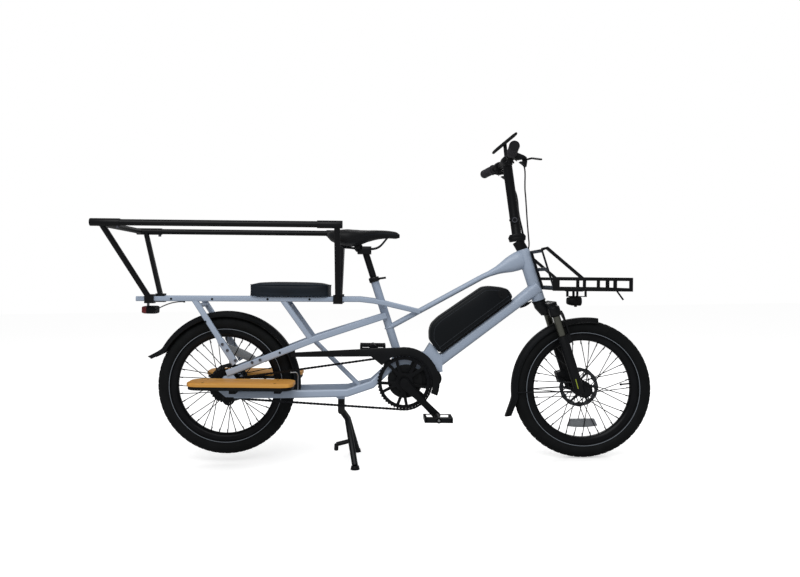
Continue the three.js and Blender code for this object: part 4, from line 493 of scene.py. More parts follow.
def make_materials(colours):
    """Every finish of the bike, by the name that the pieces ask for."""
    frame_pair = colours.frame_hex, colours.frame_shade_hex
    seat_up = COLLAR_FOOT + (-math.sin(SEAT_LEAN), 0, math.cos(SEAT_LEAN))
    fork = material("black_fork_enamel", "0C0D10", "131519", roughness=0.34, blotch=0.1, relief=0.000015,
                    specular=0.3)
    return {
        "frame": pearl_enamel("pearl_enamel", *frame_pair),
        # The seat tube's clamp collar, at its top, is black anodised.
        "frame_collar": two_tone(pearl_enamel("pearl_enamel_under_black_collar", *frame_pair),
                                 *level([COLLAR_FOOT, seat_up]), "0B0C0E"),
        # The stand's bracket, hung below the lower tubes, is black.
        "frame_brace": two_tone(pearl_enamel("pearl_enamel_over_black_bracket", *frame_pair),
                                *level([(0, 0, BRACKET_TOP), (0, 0, BRACKET_TOP - 1)]), "0B0C0E"),
        # Powder coat on steel: satin black with a fine orange-peel relief.
        "powder": material("satin_black_powder_coat", "0C0D10", "131519", roughness=0.4, blotch=0.12, grain=0.0014,
                           specular=0.25),
        # Moulded glass-filled nylon: matt black with a fine pressed texture.
        "nylon": material("moulded_black_nylon", "0B0D0F", "12151A", roughness=0.55, blotch=0.08, grain=0.0009,
                          relief=0.00003, specular=0.22),
        # Moulded ABS battery case: smoother and a little shinier than nylon.
        "case": material("moulded_abs_case", "0C1014", "12171C", roughness=0.4, blotch=0.15, relief=0.000012,
                         specular=0.22),
        "case_line": material("pale_abs_trim", "3E434A", "4A4F56", roughness=0.4, blotch=0.05, specular=0.3),
        # Tyre tread and wall: carbon-black rubber, dull, with dust in the pattern.
        "tyre": material("tyre_rubber", "0D0F10", "16181A", roughness=0.78, blotch=0.04, grain=0.0011,
                         relief=0.00005, specular=0.2),
        # Glass-bead tape: a thin grey line that only shines straight back at a lamp.
        "stripe": material("reflective_tape", "7C828A", "6C7279", blotch=0.02, grain=0.0009, specular=0.2),
        # Soft moulded rubber of treads and hose ends.
        "rubber": material("moulded_soft_rubber", "0F1012", "17181B", roughness=0.68, blotch=0.03, grain=0.0008,
                           relief=0.00004, specular=0.2),
        # Warm dark grey thermoplastic rubber of the grips.
        "grip": material("grey_grip_rubber", colours.grip_hex, "2B2A2F", roughness=0.7, blotch=0.03, grain=0.0008,
                         relief=0.00004, specular=0.25),
        "hose": material("black_hose_jacket", "0E0F11", "191B1E", roughness=0.45, blotch=0.02, grain=0.0008,
                         specular=0.3),
        # Stainless axles and pedal spindles.
        "bright": material("stainless_steel", "A6A8AB", "8F9296", roughness=0.3, metallic=1.0, blotch=0.02,
                           grain=0.0010, relief=0.00001),
        # Stainless spoke wire: thin and drawn, so it shows darker than plate.
        "spoke": material("drawn_spoke_wire", "2B2C2E", "3A3B3D", roughness=0.35, metallic=1.0, blotch=0.02,
                          grain=0.0010, relief=0.00001),
        # Ground rotor steel, brushed round the track.
        "brushed": material("brushed_rotor_steel", "5E6064", "4A4C50", roughness=0.36, metallic=1.0, blotch=0.03,
                            grain=0.0008, stretch=(1, 6, 1)),
        # Black-oxide steel: cassette, chainring, rails and small bolts.
        "oxide": material("black_oxide_steel", "1B1C1F", "2A2C2F", roughness=0.4, metallic=0.8, blotch=0.01,
                          grain=0.0009, specular=0.3),
        # Plated bolt heads: dull and a little lilac.
        "bolt": material("plated_bolt_steel", "6F7079", "5B5C66", roughness=0.4, metallic=0.9, blotch=0.01),
        "chain": material("oiled_chain_steel", "26272A", "3A3B3E", roughness=0.35, metallic=1.0, blotch=0.008),
        "anodised": material("black_anodised_aluminium", "0E0F12", "17191C", roughness=0.34, metallic=0.3,
                             blotch=0.05, relief=0.00001, specular=0.25),
        "silver": material("bare_aluminium", "A9ABAF", "95979B", roughness=0.36, metallic=1.0, blotch=0.03),
        "bamboo": bamboo(),
        "cushion": vinyl("navy_vinyl", colours.cushion_hex, "1B2632"),
        "saddle": vinyl("black_saddle_skin", "0D0E10", "141619"),
        "thread": material("stitching_thread", "1D2731", "26313D", roughness=0.8, blotch=0.002, specular=0.2),
        "red": material("red_lens", "6A0F16", "7C141B", roughness=0.18, blotch=0.01, coat=0.5),
        "clear": material("clear_lens", "C9CED3", "D5DADF", roughness=0.08, blotch=0.02, coat=0.8),
        # Prism-backed acrylic: grey, with a grain from its cube corners.
        "reflector": material("prism_reflector", "6E7276", "8C9094", roughness=0.25, blotch=0.003, grain=0.003,
                              relief=0.0003, coat=0.5),
        "screen": material("display_glass", "0B0D10", "12151A", roughness=0.12, blotch=0.05, coat=0.4),
        "lime": material("lime_decal", "A8B83A", "9DAE34", roughness=0.4, blotch=0.02),
        # Black enamel crown over hard-anodised stanchions: the colour changes where the sockets end.
        "fork": two_tone(fork, *steering([(0, 0, SOCKET_END), (0, 0, SOCKET_END - 1)]), "77786F", metal=True),
    }


# ---- Sizes and colours --------------------------------------------------------------------------

def metres(name, description, default):
    """A length among an operator's settings."""
    return FloatProperty(name=name, description=description, default=default, unit="LENGTH")


class BikeStageSettings(bpy.types.PropertyGroup):
    """Where the picture is taken from, and its light."""
    distance: metres("Distance", "From the bike's middle plane to the camera", 2.8)
    along: metres("Along", "Camera's place ahead of the rear axle", 0.5475)
    height: metres("Height", "Camera's height over the rear axle, level", 0.4048)
    focal: FloatProperty(name="Focal length", description="Millimetres on a 36 mm sensor", default=33.435)
    roll: FloatProperty(name="Roll", description="Turn of the picture against the level bike",
                        default=math.radians(0.598), subtype="ANGLE")
    shift_x: FloatProperty(name="Shift X", description="Of the lens, in picture widths", default=0.03325)
    shift_y: FloatProperty(name="Shift Y", description="Of the lens, in picture widths", default=-0.012125)
    key_power: FloatProperty(name="Key light", description="Power of the large front lamp", default=70.0,
                             unit="POWER")
    fill: FloatProperty(name="Fill", description="Strength of the world's light", default=0.6)
    mirrored: FloatProperty(name="Mirrored", description="Strength of the room as shiny finishes mirror it",
                            default=0.2)
    bounce: FloatProperty(name="Bounce", description="Share of light that the paper throws back", default=0.4)


class BikeWheelSettings(bpy.types.PropertyGroup):
    """Sizes of both wheels."""
    tyre_radius: metres("Tyre radius", "From the axle to the tread", 0.2578)
    tyre_half_width: metres("Tyre half width", "Half the tyre's width", 0.0272)
    rim_inner: metres("Rim inner radius", "From the axle to the spoke bed", 0.181)
    rim_outer: metres("Rim outer radius", "From the axle to the rim's edge", 0.2082)
    spokes: IntProperty(name="Spokes", description="Spokes in a wheel", default=36, min=12, max=48)
    stripe_radius: metres("Stripe radius", "Radius of the reflective line", 0.2115)


class BikeColourSettings(bpy.types.PropertyGroup):
    """Colours that change the bike's look."""
    frame_hex: StringProperty(name="Frame", description="Frame enamel, sRGB hex", default="A9B7CB")
    frame_shade_hex: StringProperty(name="Frame shade", description="Second colour of the enamel, sRGB hex",
                                    default="9FADC1")
    cushion_hex: StringProperty(name="Cushion", description="Cushion vinyl, sRGB hex", default="121A23")
    grip_hex: StringProperty(name="Grips", description="Grip rubber, sRGB hex", default="38363B")


# ---- Stage --------------------------------------------------------------------------------------

LAMPS = [("key", (-0.6, -2.6, 3.2), 3.0, 1.0), ("rim_light", (1.4, 2.6, 2.6), 2.4, 0.45)]  # place, size, share
LAMP_AIM = (0, 0, 0.5)
FLOOR_REACH = 14.0
FLOOR_GAP = 0.0005
PAPER_GREY = 0.93
PAPER_GLOW = 0.42


class BIKE_OT_stage(bpy.types.Operator):
    """Camera, lamps, world, floor and backdrop"""
    bl_idname = "bike.stage"
    bl_label = "Stage"

    def execute(self, context):
        scene, s = context.scene, context.scene.bike_stage
        scene.view_settings.view_transform = "Standard"
        camera = bpy.data.cameras.new("view")
        camera.lens = s.focal
        camera.sensor_width = 36
        camera.shift_x, camera.shift_y = s.shift_x, s.shift_y
        camera.dof.use_dof = False
        scene.camera = self.shown("view", camera)
        tilt = PITCH - s.roll
        right, back = Vector((math.cos(tilt), 0, -math.sin(tilt))), Vector((0, -1, 0))
        place = level((s.along, -s.distance, s.height))
        turn = Matrix((right, back.cross(right), back)).transposed().to_4x4()
        scene.camera.matrix_world = Matrix.Translation(place) @ turn
        self.world(scene, s)
        for name, spot, size, share in LAMPS:
            lamp = bpy.data.lights.new(name, "AREA")
            lamp.energy = s.key_power * share
            lamp.size = size
            turn = (Vector(LAMP_AIM) - Vector(spot)).to_track_quat("-Z", "Y").to_matrix().to_4x4()
            self.shown(name, lamp).matrix_world = Matrix.Translation(spot) @ turn
        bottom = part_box("front_tyre")[0][2] - FLOOR_GAP
        mesh = bpy.data.meshes.new("floor")
        corners = ((-1, -1), (1, -1), (1, 1), (-1, 1))
        mesh.from_pydata([(x * FLOOR_REACH, y * FLOOR_REACH, bottom) for x, y in corners], [], [(0, 1, 2, 3)])
        mesh.materials.append(self.paper(s.bounce))
        floor = self.shown("floor", mesh)
        return {"FINISHED"}

    def shown(self, name, data):
        """A new object in the scene."""
        obj = bpy.data.objects.new(name, data)
        bpy.context.scene.collection.objects.link(obj)
        return obj

    def world(self, scene, s):
        """White where the camera sees it, with its own strengths for diffuse and for mirrored light."""
        scene.world = bpy.data.worlds.new("studio")
        scene.world.use_nodes = True
        tree = scene.world.node_tree
        tree.nodes.clear()
        path = add_node(tree, "ShaderNodeLightPath")
        lit, mirrored, seen = (add_node(tree, "ShaderNodeBackground", {"Color": (1, 1, 1, 1), "Strength": strength})
                               for strength in (s.fill, s.mirrored, 1.0))
        soft = add_node(tree, "ShaderNodeMixShader", {0: path.outputs["Is Glossy Ray"], 1: lit.outputs[0],
                                                      2: mirrored.outputs[0]})
        mix = add_node(tree, "ShaderNodeMixShader", {0: path.outputs["Is Camera Ray"], 1: soft.outputs[0],
                                                     2: seen.outputs[0]})
        add_node(tree, "ShaderNodeOutputWorld", {"Surface": mix.outputs[0]})

    def paper(self, bounce):
        """Studio paper: white to the camera, dimmed by the object's own shadow, and darker to other rays."""
        made = bpy.data.materials.new("white_studio_paper")
        made.use_nodes = True
        tree = made.node_tree
        tree.nodes.clear()
        path = add_node(tree, "ShaderNodeLightPath")
        paper, dark = (add_node(tree, "ShaderNodeBsdfDiffuse", {"Color": (grey, grey, grey, 1)})
                       for grey in (PAPER_GREY, bounce))
        glow = add_node(tree, "ShaderNodeEmission", {"Color": (1, 1, 1, 1), "Strength": PAPER_GLOW})
        both = add_node(tree, "ShaderNodeAddShader", {0: paper.outputs[0], 1: glow.outputs[0]})
        mix = add_node(tree, "ShaderNodeMixShader", {0: path.outputs["Is Camera Ray"], 1: dark.outputs[0],
                                                     2: both.outputs[0]})
        add_node(tree, "ShaderNodeOutputMaterial", {"Surface": mix.outputs[0]})
        return made


# ---- Cords --------------------------------------------------------------------------------------

# name, CAD node, radius and route, level
CORDS = [
    ("right_hose", "right_brake_hose", 0.0026,
     [(1.072, -0.178, 0.810), (1.077, -0.169, 0.808), (1.081, -0.162, 0.797), (1.084, -0.153, 0.780),
      (1.087, -0.137, 0.756), (1.091, -0.120, 0.731), (1.097, -0.103, 0.707), (1.104, -0.084, 0.669),
      (1.111, -0.064, 0.631), (1.118, -0.046, 0.595), (1.124, -0.032, 0.563), (1.128, -0.022, 0.541),
      (1.127, -0.015, 0.524), (1.118, -0.008, 0.513)]),
    ("left_bundle", "left_cables", 0.004,
     [(1.045, 0.177, 0.839), (1.053, 0.165, 0.837), (1.063, 0.154, 0.826), (1.074, 0.141, 0.806),
      (1.084, 0.124, 0.783), (1.092, 0.103, 0.762), (1.097, 0.082, 0.738), (1.099, 0.063, 0.708),
      (1.100, 0.050, 0.672), (1.105, 0.043, 0.636), (1.113, 0.041, 0.602), (1.119, 0.041, 0.570),
      (1.120, 0.038, 0.542), (1.116, 0.031, 0.525), (1.111, 0.017, 0.514)]),
]


class BIKE_OT_cords(bpy.types.Operator):
    """Brake hose on the right, and the bundle of cables on the left"""
    bl_idname = "bike.cords"
    bl_label = "Cords"

    def execute(self, context):
        for name, node, radius, route in CORDS:
            path = level(catmull(route, 90))
            cord = sweep(path, circle(12) * radius, (1, 0, 0))
            obj = build(name, cord, "hose", None, [node], as_is)
            length = float(way_along(path)[-1])
            obj["path_m"] = length
            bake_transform(obj)
        return {"FINISHED"}


# ---- Frame --------------------------------------------------------------------------------------

KEPT = {
    "frame": ["head_tube", "top_tube", "down_tube", "rear_rack", "rear_stays", "struts", "middle_stays"],
    "frame_collar": ["seat_tube"],
    "frame_brace": ["lower_tubes"],
    "powder": ["battery_rail", "top_rail", "front_post_right", "front_post_left", "rear_post_right", "rear_post_left",
               "front_rack", "fork_lowers", "stem_base", "handlepost", "handlebar", "center_stand", "seatpost",
               "seat_lever"],
    "nylon": ["motor", "chain_guard", "footboard_base_right", "footboard_base_left", "guide_pulley",
              "tension_pulley"],
    "anodised": ["derailleur", "crank_left", "brake_lever_right", "brake_lever_left"],
    "bright": ["rear_axle"],
    "fork": ["fork_crown"],
}


class BIKE_OT_cad_finish(bpy.types.Operator):
    """Finishes of the CAD nodes that stay, with rounded edges and smooth shading"""
    bl_idname = "bike.cad_finish"
    bl_label = "Finishes"

    def execute(self, context):
        for finish, names in KEPT.items():
            for name in names:
                obj = NODES[name]
                if obj.material_slots:
                    obj.material_slots[0].material = M[finish]
                else:
                    obj.data.materials.append(M[finish])
                obj.data.polygons.foreach_set("use_smooth", [True] * len(obj.data.polygons))
                weld = obj.modifiers.new("joined_faces", "WELD")
                weld.merge_threshold = 0.00002
                dress(obj, 0.0012 if finish.startswith("frame") else 0.0006, 40)
        return {"FINISHED"}


BRACKET_BOLTS = [(-0.0026, 0.0815, 0.1595), (0.016, 0.0815, 0.1376), (0.0458, 0.0815, 0.1012),
                 (0.1065, 0.0805, 0.0945), (0.1358, 0.0805, 0.104)]
INSERTS = [(-0.1926, 0.0791, 0.3238), (-0.0425, 0.0791, 0.3247), (0.1606, 0.0791, 0.3259), (0.3144, 0.0791, 0.3269),
           (-0.0659, 0.0806, 0.2412), (0.2072, 0.0768, 0.1301)]
POST_BOLT = (-0.332, 0.254, 0.5775)
FENDER_WIRE = [(0.2744, -0.0735, -0.0085), (0.2744, -0.0735, 0.030), (0.2742, -0.0735, 0.0480),
               (0.2690, -0.0735, 0.0570), (0.2464, -0.0735, 0.0576)]
TAIL_LEAD = [(-0.270, -0.024, 0.2790), (-0.256, -0.036, 0.2835), (-0.228, -0.056, 0.2960), (-0.196, -0.069, 0.3075),
             (-0.170, -0.0725, 0.3125), (-0.146, -0.0725, 0.3140)]
# ends of a short stretch of each tube, just clear of the tube that it meets
WELDS = [((0.6095, 0, 0.2227), (0.6102, 0, 0.2205)), ((0.6395, 0, 0.1318), (0.640, 0, 0.1303))]
WELDED_RADIUS, BEAD_RADIUS = 0.0163, 0.0022


class BIKE_OT_frame_details(bpy.types.Operator):
    """Bearing cup, bolts, threaded inserts, weld beads, strap, wire bracket and leads on the frame"""
    bl_idname = "bike.frame_details"
    bl_label = "Frame details"

    def execute(self, context):
        cup = turned([(0.0245, -0.004), (0.0262, -0.003), (0.0262, 0.0005), (0.0245, 0.0012), (0.0165, 0.0012),
                      (0.0165, -0.004)], 48, "Z")
        build("lower_bearing_cup", moved(cup, (0, 0, 0.003)), "anodised", "frame", place=steering)
        bolts = [bolt((x, side * y, z), (0, side, 0), 0.0052, 0.0032) for side in SIDES for x, y, z in BRACKET_BOLTS]
        x, y, z = POST_BOLT
        bolts += [bolt((x, side * y, z), (0, 0, -1), 0.0058, 0.0085) for side in SIDES]
        build("frame_bolts", joined(bolts), "bolt", "frame")
        holes = [bolt((x, side * y, z), (0, side, 0), 0.0042, 0.0012) for side in SIDES for x, y, z in INSERTS]
        build("threaded_inserts", joined(holes), "oxide", "frame")
        build("weld_beads", joined([self.bead(*ends) for ends in WELDS]), "frame", "frame")
        strap = np.linspace((1.405, -0.1865, 0.3700), (1.427, -0.1865, 0.3400), 4)
        build("rack_strap", sweep(strap, squircle(12, 6) * (0.0026, 0.0035)), "rubber", "frame")
        build("fender_wire_bracket", tube(FENDER_WIRE, 0.0024), "silver", "frame")
        swell = np.sin(np.linspace(0.06, 0.94, 16) * math.pi)
        grommet = np.linspace((1.101, 0, 0.3006), (1.145, 0, 0.326), 16)
        clip = rod((-0.146, -0.0725, 0.3160), (-0.146, -0.0725, 0.3105), 0.0038, 12)
        leads = [tube(TAIL_LEAD, 0.0020, 70, 10), clip,
                 sweep(grommet, sections(20, 2.4, 0.0052 * swell, 0.0120 * swell))]
        build("frame_leads", joined(leads), "hose", "frame")
        return {"FINISHED"}

    def bead(self, start, end):
        """A bead of weld round a tube: a ring whose radius ripples 24 times."""
        ring = circle(72)
        along = np.subtract(end, start) / np.linalg.norm(np.subtract(end, start))
        out = ring[:, 0:1] * np.cross(along, (0, 1, 0)) + ring[:, 1:2] * np.array((0, 1, 0))
        ripple = 1 + 0.03 * np.cos(24 * TAU * np.arange(72) / 72)
        cross = circle(8) * BEAD_RADIUS
        path = np.asarray(start) + out * WELDED_RADIUS * ripple[:, None]
        points = path[:, None] + out[:, None] * cross[None, :, 0:1] + along * cross[None, :, 1:2]
        return points.reshape(-1, 3), grid(72, 8, True)


# ---- Wheels -------------------------------------------------------------------------------------

BEAD_SEAT = 0.2045
STRIPE_HALF, STRIPE_RISE = 0.0011, 0.0012
VALVE_ANGLE = 0.087
SPOKE_LEAD = math.radians(55)


class BIKE_OT_tyres(bpy.types.Operator):
    """Tyres with a block tread, and the reflective line on each wall"""
    bl_idname = "bike.tyres"
    bl_label = "Tyres"
    AROUND, ACROSS = 480, 40
    BLOCKS, GROOVE = 60, 0.0013  # blocks round the tread, and the depth between them
    # angles round the section: the edge of the wall, the edge of the tread, and the groove along it
    BEAD_AT, TREAD_TO, LINE_AT, LINE_HALF = 2.75, 1.35, 0.42, 0.06

    def execute(self, context):
        w = context.scene.bike_wheel
        low, high = w.stripe_radius - STRIPE_HALF, w.stripe_radius + STRIPE_HALF
        for end, place in WHEELS.items():
            name, body = end + "_tyre", end + "_wheel"
            build(name + "_tread", self.carcass(w), "tyre", body, [name], place, recalc=False)
            lines = []
            for side in SIDES:
                y = side * w.tyre_half_width * 0.86
                out = y + side * STRIPE_RISE
                lines.append(turned([(low, y), (low, out), (high, out), (high, y)], 144))
            build(name + "_stripe", joined(lines), "stripe", body, place=place)
        return {"FINISHED"}

    def carcass(self, w):
        """The wall is an ellipse round the section's middle, cut open at the bead. Grooves sink into the tread by a
        depth that falls off down the shoulders: depth = step(pattern) * cos(0.95 angle)."""
        crown = (w.tyre_radius - BEAD_SEAT) / 2
        uu, tt = np.meshgrid(TAU * np.arange(self.AROUND) / self.AROUND,
                             np.linspace(-self.BEAD_AT, self.BEAD_AT, self.ACROSS), indexing="ij")
        wave = np.sin(self.BLOCKS * uu + 3.0 * np.abs(np.sin(tt))) + 0.4
        groove = (wave < -0.25) | (np.abs(np.abs(tt) - self.LINE_AT) < self.LINE_HALF)
        depth = np.where(groove, -self.GROOVE, 0.0) * np.clip(np.cos(tt * 0.95), 0, 1) * (np.abs(tt) < self.TREAD_TO)
        radius = w.tyre_radius - crown + (crown + depth) * np.cos(tt)
        y = (w.tyre_half_width + depth) * np.sin(tt)
        return polar(radius, uu, y).reshape(-1, 3), grid(self.AROUND, self.ACROSS, True)


class BIKE_OT_rims(bpy.types.Operator):
    """Double-wall rims with nipples and a valve"""
    bl_idname = "bike.rims"
    bl_label = "Rims"

    def execute(self, context):
        w = context.scene.bike_wheel
        inner, outer = w.rim_inner, w.rim_outer
        half = [(inner, 0.006), (inner + 0.002, 0.010), (inner + 0.011, 0.0158), (outer - 0.002, 0.0165),
                (outer, 0.0158), (outer, 0.0142), (outer - 0.005, 0.0138), (outer - 0.007, 0.009)]
        profile = [(r, -y) for r, y in half] + half[::-1]
        nipples = [rod(polar(inner + 0.001, a), polar(inner - 0.0135, a), 0.0021, 8, 0.0005)
                   for a in TAU * np.arange(w.spokes) / w.spokes]
        for start, end, radius in ((0.001, -0.032, 0.003), (-0.028, -0.036, 0.0042)):
            stem = polar(inner + np.array((start, end)), VALVE_ANGLE)
            nipples.append(rod(*stem, radius, 12, 0.001))
        for end, place in WHEELS.items():
            name, body = end + "_rim", end + "_wheel"
            build(name + "_extrusion", turned(profile, 180), "anodised", body, [name], place)
            build(name + "_nipples", joined(nipples), "spoke", body, place=place)
        return {"FINISHED"}


class BIKE_OT_hubs(bpy.types.Operator):
    """Hubs, crossed spokes and brake rotors"""
    bl_idname = "bike.hubs"
    bl_label = "Hubs"
    HUBS = {"front": dict(shell=0.015, flange=0.031, ys=(-0.025, 0.025), ends=(-0.046, 0.046), rotor=0.038),
            "rear": dict(shell=0.021, flange=0.033, ys=(-0.014, 0.040), ends=(-0.019, 0.064), rotor=0.056)}
    CAP = [(0.0066, -0.0458), (0.0118, -0.0458), (0.0128, -0.0464), (0.0128, -0.0476), (0.0066, -0.0478)]
    COVER = [(0.0128, -0.0430), (0.0280, -0.0430), (0.0290, -0.0438), (0.0282, -0.0450), (0.0128, -0.0462)]

    def execute(self, context):
        for end, place in WHEELS.items():
            hub, name, body = self.HUBS[end], end + "_hub", end + "_wheel"
            spokes = self.spokes(hub["ys"], context.scene.bike_wheel)
            build(name + "_shell", turned(self.shell(hub), 72), "anodised", body, [name], place)
            build(name + "_spokes", spokes, "spoke", body, place=place)
            build(name + "_rotor", self.rotor(hub["rotor"]), "brushed", body, place=place)
            if end == "front":
                build(name + "_cap", turned(self.CAP, 40), "silver", body, place=place)
                build(name + "_cover", turned(self.COVER, 48), "nylon", body, place=place)
        return {"FINISHED"}

    def shell(self, hub):
        """Waisted shell between two thin flanges, with end caps over the bearings."""
        r, f, bore = hub["shell"], hub["flange"], 0.0066
        (a, b), (low, high) = hub["ys"], hub["ends"]
        first, second = ([(f - 0.004, y - 0.0021), (f, y - 0.0012), (f, y + 0.0012), (f - 0.004, y + 0.0021)]
                         for y in (a, b))
        return [(bore, low), (r * 0.86, low), (r, low + 0.002), (r, a - 0.003), *first, (r + 0.002, a + 0.006),
                (r * 0.92, (a + b) / 2), (r + 0.002, b - 0.006), *second, (r, b + 0.003), (r, high - 0.002),
                (r * 0.86, high), (bore, high)]

    def spokes(self, ys, w):
        """Each spoke runs from the flange, a lead angle ahead of or behind its rim hole, straight to the rim."""
        k = np.arange(w.spokes)
        way = np.where((k // 2) % 2 == 1, 1.0, -1.0)
        angle = TAU * k / w.spokes
        start = polar(0.027, angle + way * SPOKE_LEAD, np.where(k % 2 == 1, *ys) + way * 0.0018)
        end = polar(w.rim_inner, angle)
        along = (end - start) / np.linalg.norm(end - start, axis=1, keepdims=True)
        aside = np.cross(along, (0, 1, 0))
        aside /= np.linalg.norm(aside, axis=1, keepdims=True)
        other = np.cross(along, aside)
        ring = circle(8) * 0.0016
        cross = aside[:, None] * ring[None, :, 0:1] + other[:, None] * ring[None, :, 1:2]
        points = np.stack([spot[:, None] + cross for spot in (start, end)], 1).reshape(-1, 3)
        return points, (grid(2, 8)[None] + 16 * k[:, None, None]).reshape(-1, 4)

    def rotor(self, y):
        """A brake track with waved edges, on six raked arms from a ring with six bolts."""
        around = TAU * np.arange(144) / 144
        wave = np.cos(12 * around)
        outer, inner = 0.0740 + 0.0009 * wave, 0.0585 - 0.0022 * wave
        rows = [(outer, y + 0.0009), (outer, y - 0.0009), (inner, y - 0.0009), (inner, y + 0.0009)]
        points = np.stack([polar(radius, around, level_y) for radius, level_y in rows], 1)
        sixths = TAU * np.arange(6) / 6
        parts = [(points.reshape(-1, 3), grid(144, 4, True))]
        parts += [sweep(np.linspace(polar(0.0215, a + 0.55, y), polar(0.0595, a, y), 6),
                        squircle(12, 6) * (0.0042, 0.0009)) for a in sixths]
        parts.append(disc(0.0238, y - 0.0016, y + 0.0016, 0.0158, 0.0004))
        parts += [bolt(polar(0.0195, a, y + 0.0016), (0, 1, 0), 0.0028, 0.002) for a in sixths + TAU / 12]
        return joined(parts)


# ---- Drive --------------------------------------------------------------------------------------

CHAIN_Y = -0.0515
CHAIN_PITCH = 0.0127
CRANK_CENTRE = np.array((0.6657, 0, 0.0233))
CRANK_ANGLE = math.radians(-44.5)
CRANK_LENGTH = 0.165
# centre and radius of cassette, chainring and two pulleys; the sign says which way the chain turns round them
SPROCKETS = [((0.0, 0.0), -0.0245), ((0.6657, 0.0233), -0.101), ((0.070, -0.0245), -0.020), ((0.016, -0.046), 0.020)]


class BIKE_OT_chain(bpy.types.Operator):
    """Chain of plates, pins and rollers round the four toothed wheels"""
    bl_idname = "bike.chain"
    bl_label = "Chain"

    def execute(self, context):
        loop = self.loop()
        count = int(round(way_along(loop)[-1] / CHAIN_PITCH / 2)) * 2
        pins = evenly(loop, count + 1)
        along = np.diff(pins, axis=0)
        pitch = np.linalg.norm(along, axis=1, keepdims=True)
        along = along / pitch
        normal = np.stack((-along[:, 1], along[:, 0]), -1)
        link, faces = self.link()
        flat = ((pins[:-1] + pins[1:]) / 2)[:, None] + normal[:, None] * link[None, :, 2:3]
        flat = flat + along[:, None] * (link[None, :, 0] * pitch)[..., None]
        wide = np.where(np.arange(count) % 2 == 0, 1.0, 0.62)
        points = np.stack((flat[..., 0], CHAIN_Y + link[None, :, 1] * wide[:, None], flat[..., 1]), -1)
        faces = [[int(i) + k * len(link) for i in face] for k in range(count) for face in faces]
        build("chain_links", (points.reshape(-1, 3), faces), "chain", "frame", ["chain"], recalc=False)
        return {"FINISHED"}

    def loop(self):
        """Straight runs between arcs, like a belt round wheels."""
        arcs = []
        for k, (centre, radius) in enumerate(SPROCKETS):
            enter = self.run_angle(SPROCKETS[k - 1], (centre, radius))
            leave = self.run_angle((centre, radius), SPROCKETS[(k + 1) % 4])
            way = math.copysign(1, radius)
            while way * (leave - enter) < 0:
                leave += way * TAU
            angle = np.linspace(enter, leave, 40)
            arcs.append(np.stack((centre[0] + radius * np.sin(angle), centre[1] - radius * np.cos(angle)), -1))
        return np.concatenate(arcs + [arcs[0][:1]])

    def run_angle(self, start, end):
        """Slope of the straight run from one wheel to the next."""
        (x0, z0), r0 = start
        (x1, z1), r1 = end
        return math.atan2(z1 - z0, x1 - x0) - math.asin((r1 - r0) / math.hypot(x1 - x0, z1 - z0))

    def link(self):
        """Two waisted plates and a roller. X is in pitches from the link's middle, so plates overlap at the pins."""
        t = np.linspace(0, TAU, 14, endpoint=False)
        x = 0.62 * np.cos(t) * (1 + 0.06 * np.cos(2 * t))
        z = 0.0051 * np.sin(t) * (0.86 + 0.14 * np.cos(2 * t) ** 2)
        side = np.stack((x, np.where(np.abs(np.cos(t)) < 0.3, z * 0.84, z)), -1)
        roller = circle(8) * (0.30, 0.0037) + (0.5, 0)
        return joined([plate(side, -0.0031, -0.0021), plate(side, 0.0021, 0.0031), plate(roller, -0.0026, 0.0026)])


class BIKE_OT_cassette(bpy.types.Operator):
    """Eight toothed cogs on a carrier, with a lock ring"""
    bl_idname = "bike.cassette"
    bl_label = "Cassette"
    TEETH, STEP = (12, 14, 16, 18, 21, 24, 28, 32), 0.0041

    def execute(self, context):
        cogs = []
        for k, count in enumerate(self.TEETH):
            outer, y = count * CHAIN_PITCH / TAU + 0.0016, CHAIN_Y + k * self.STEP
            cogs.append(toothed(count, outer, outer - 0.0048, max(0.0165, outer - 0.019), y - 0.0010, y + 0.0010))
        cogs.append(disc(0.0178, -0.0515, -0.0218, 0.0066, count=40))
        cogs.append(disc(0.0150, -0.0548, -0.0515, 0.0066, 0.0008, 40))
        build("cassette_cogs", joined(cogs), "oxide", "cogs", ["cassette"], rear_wheel)
        return {"FINISHED"}


def crank_end(side, y):
    """End of a crank arm, level: a crank's length along the crank's angle, down at the front on the right."""
    return CRANK_CENTRE + polar(-side * CRANK_LENGTH, CRANK_ANGLE, y)


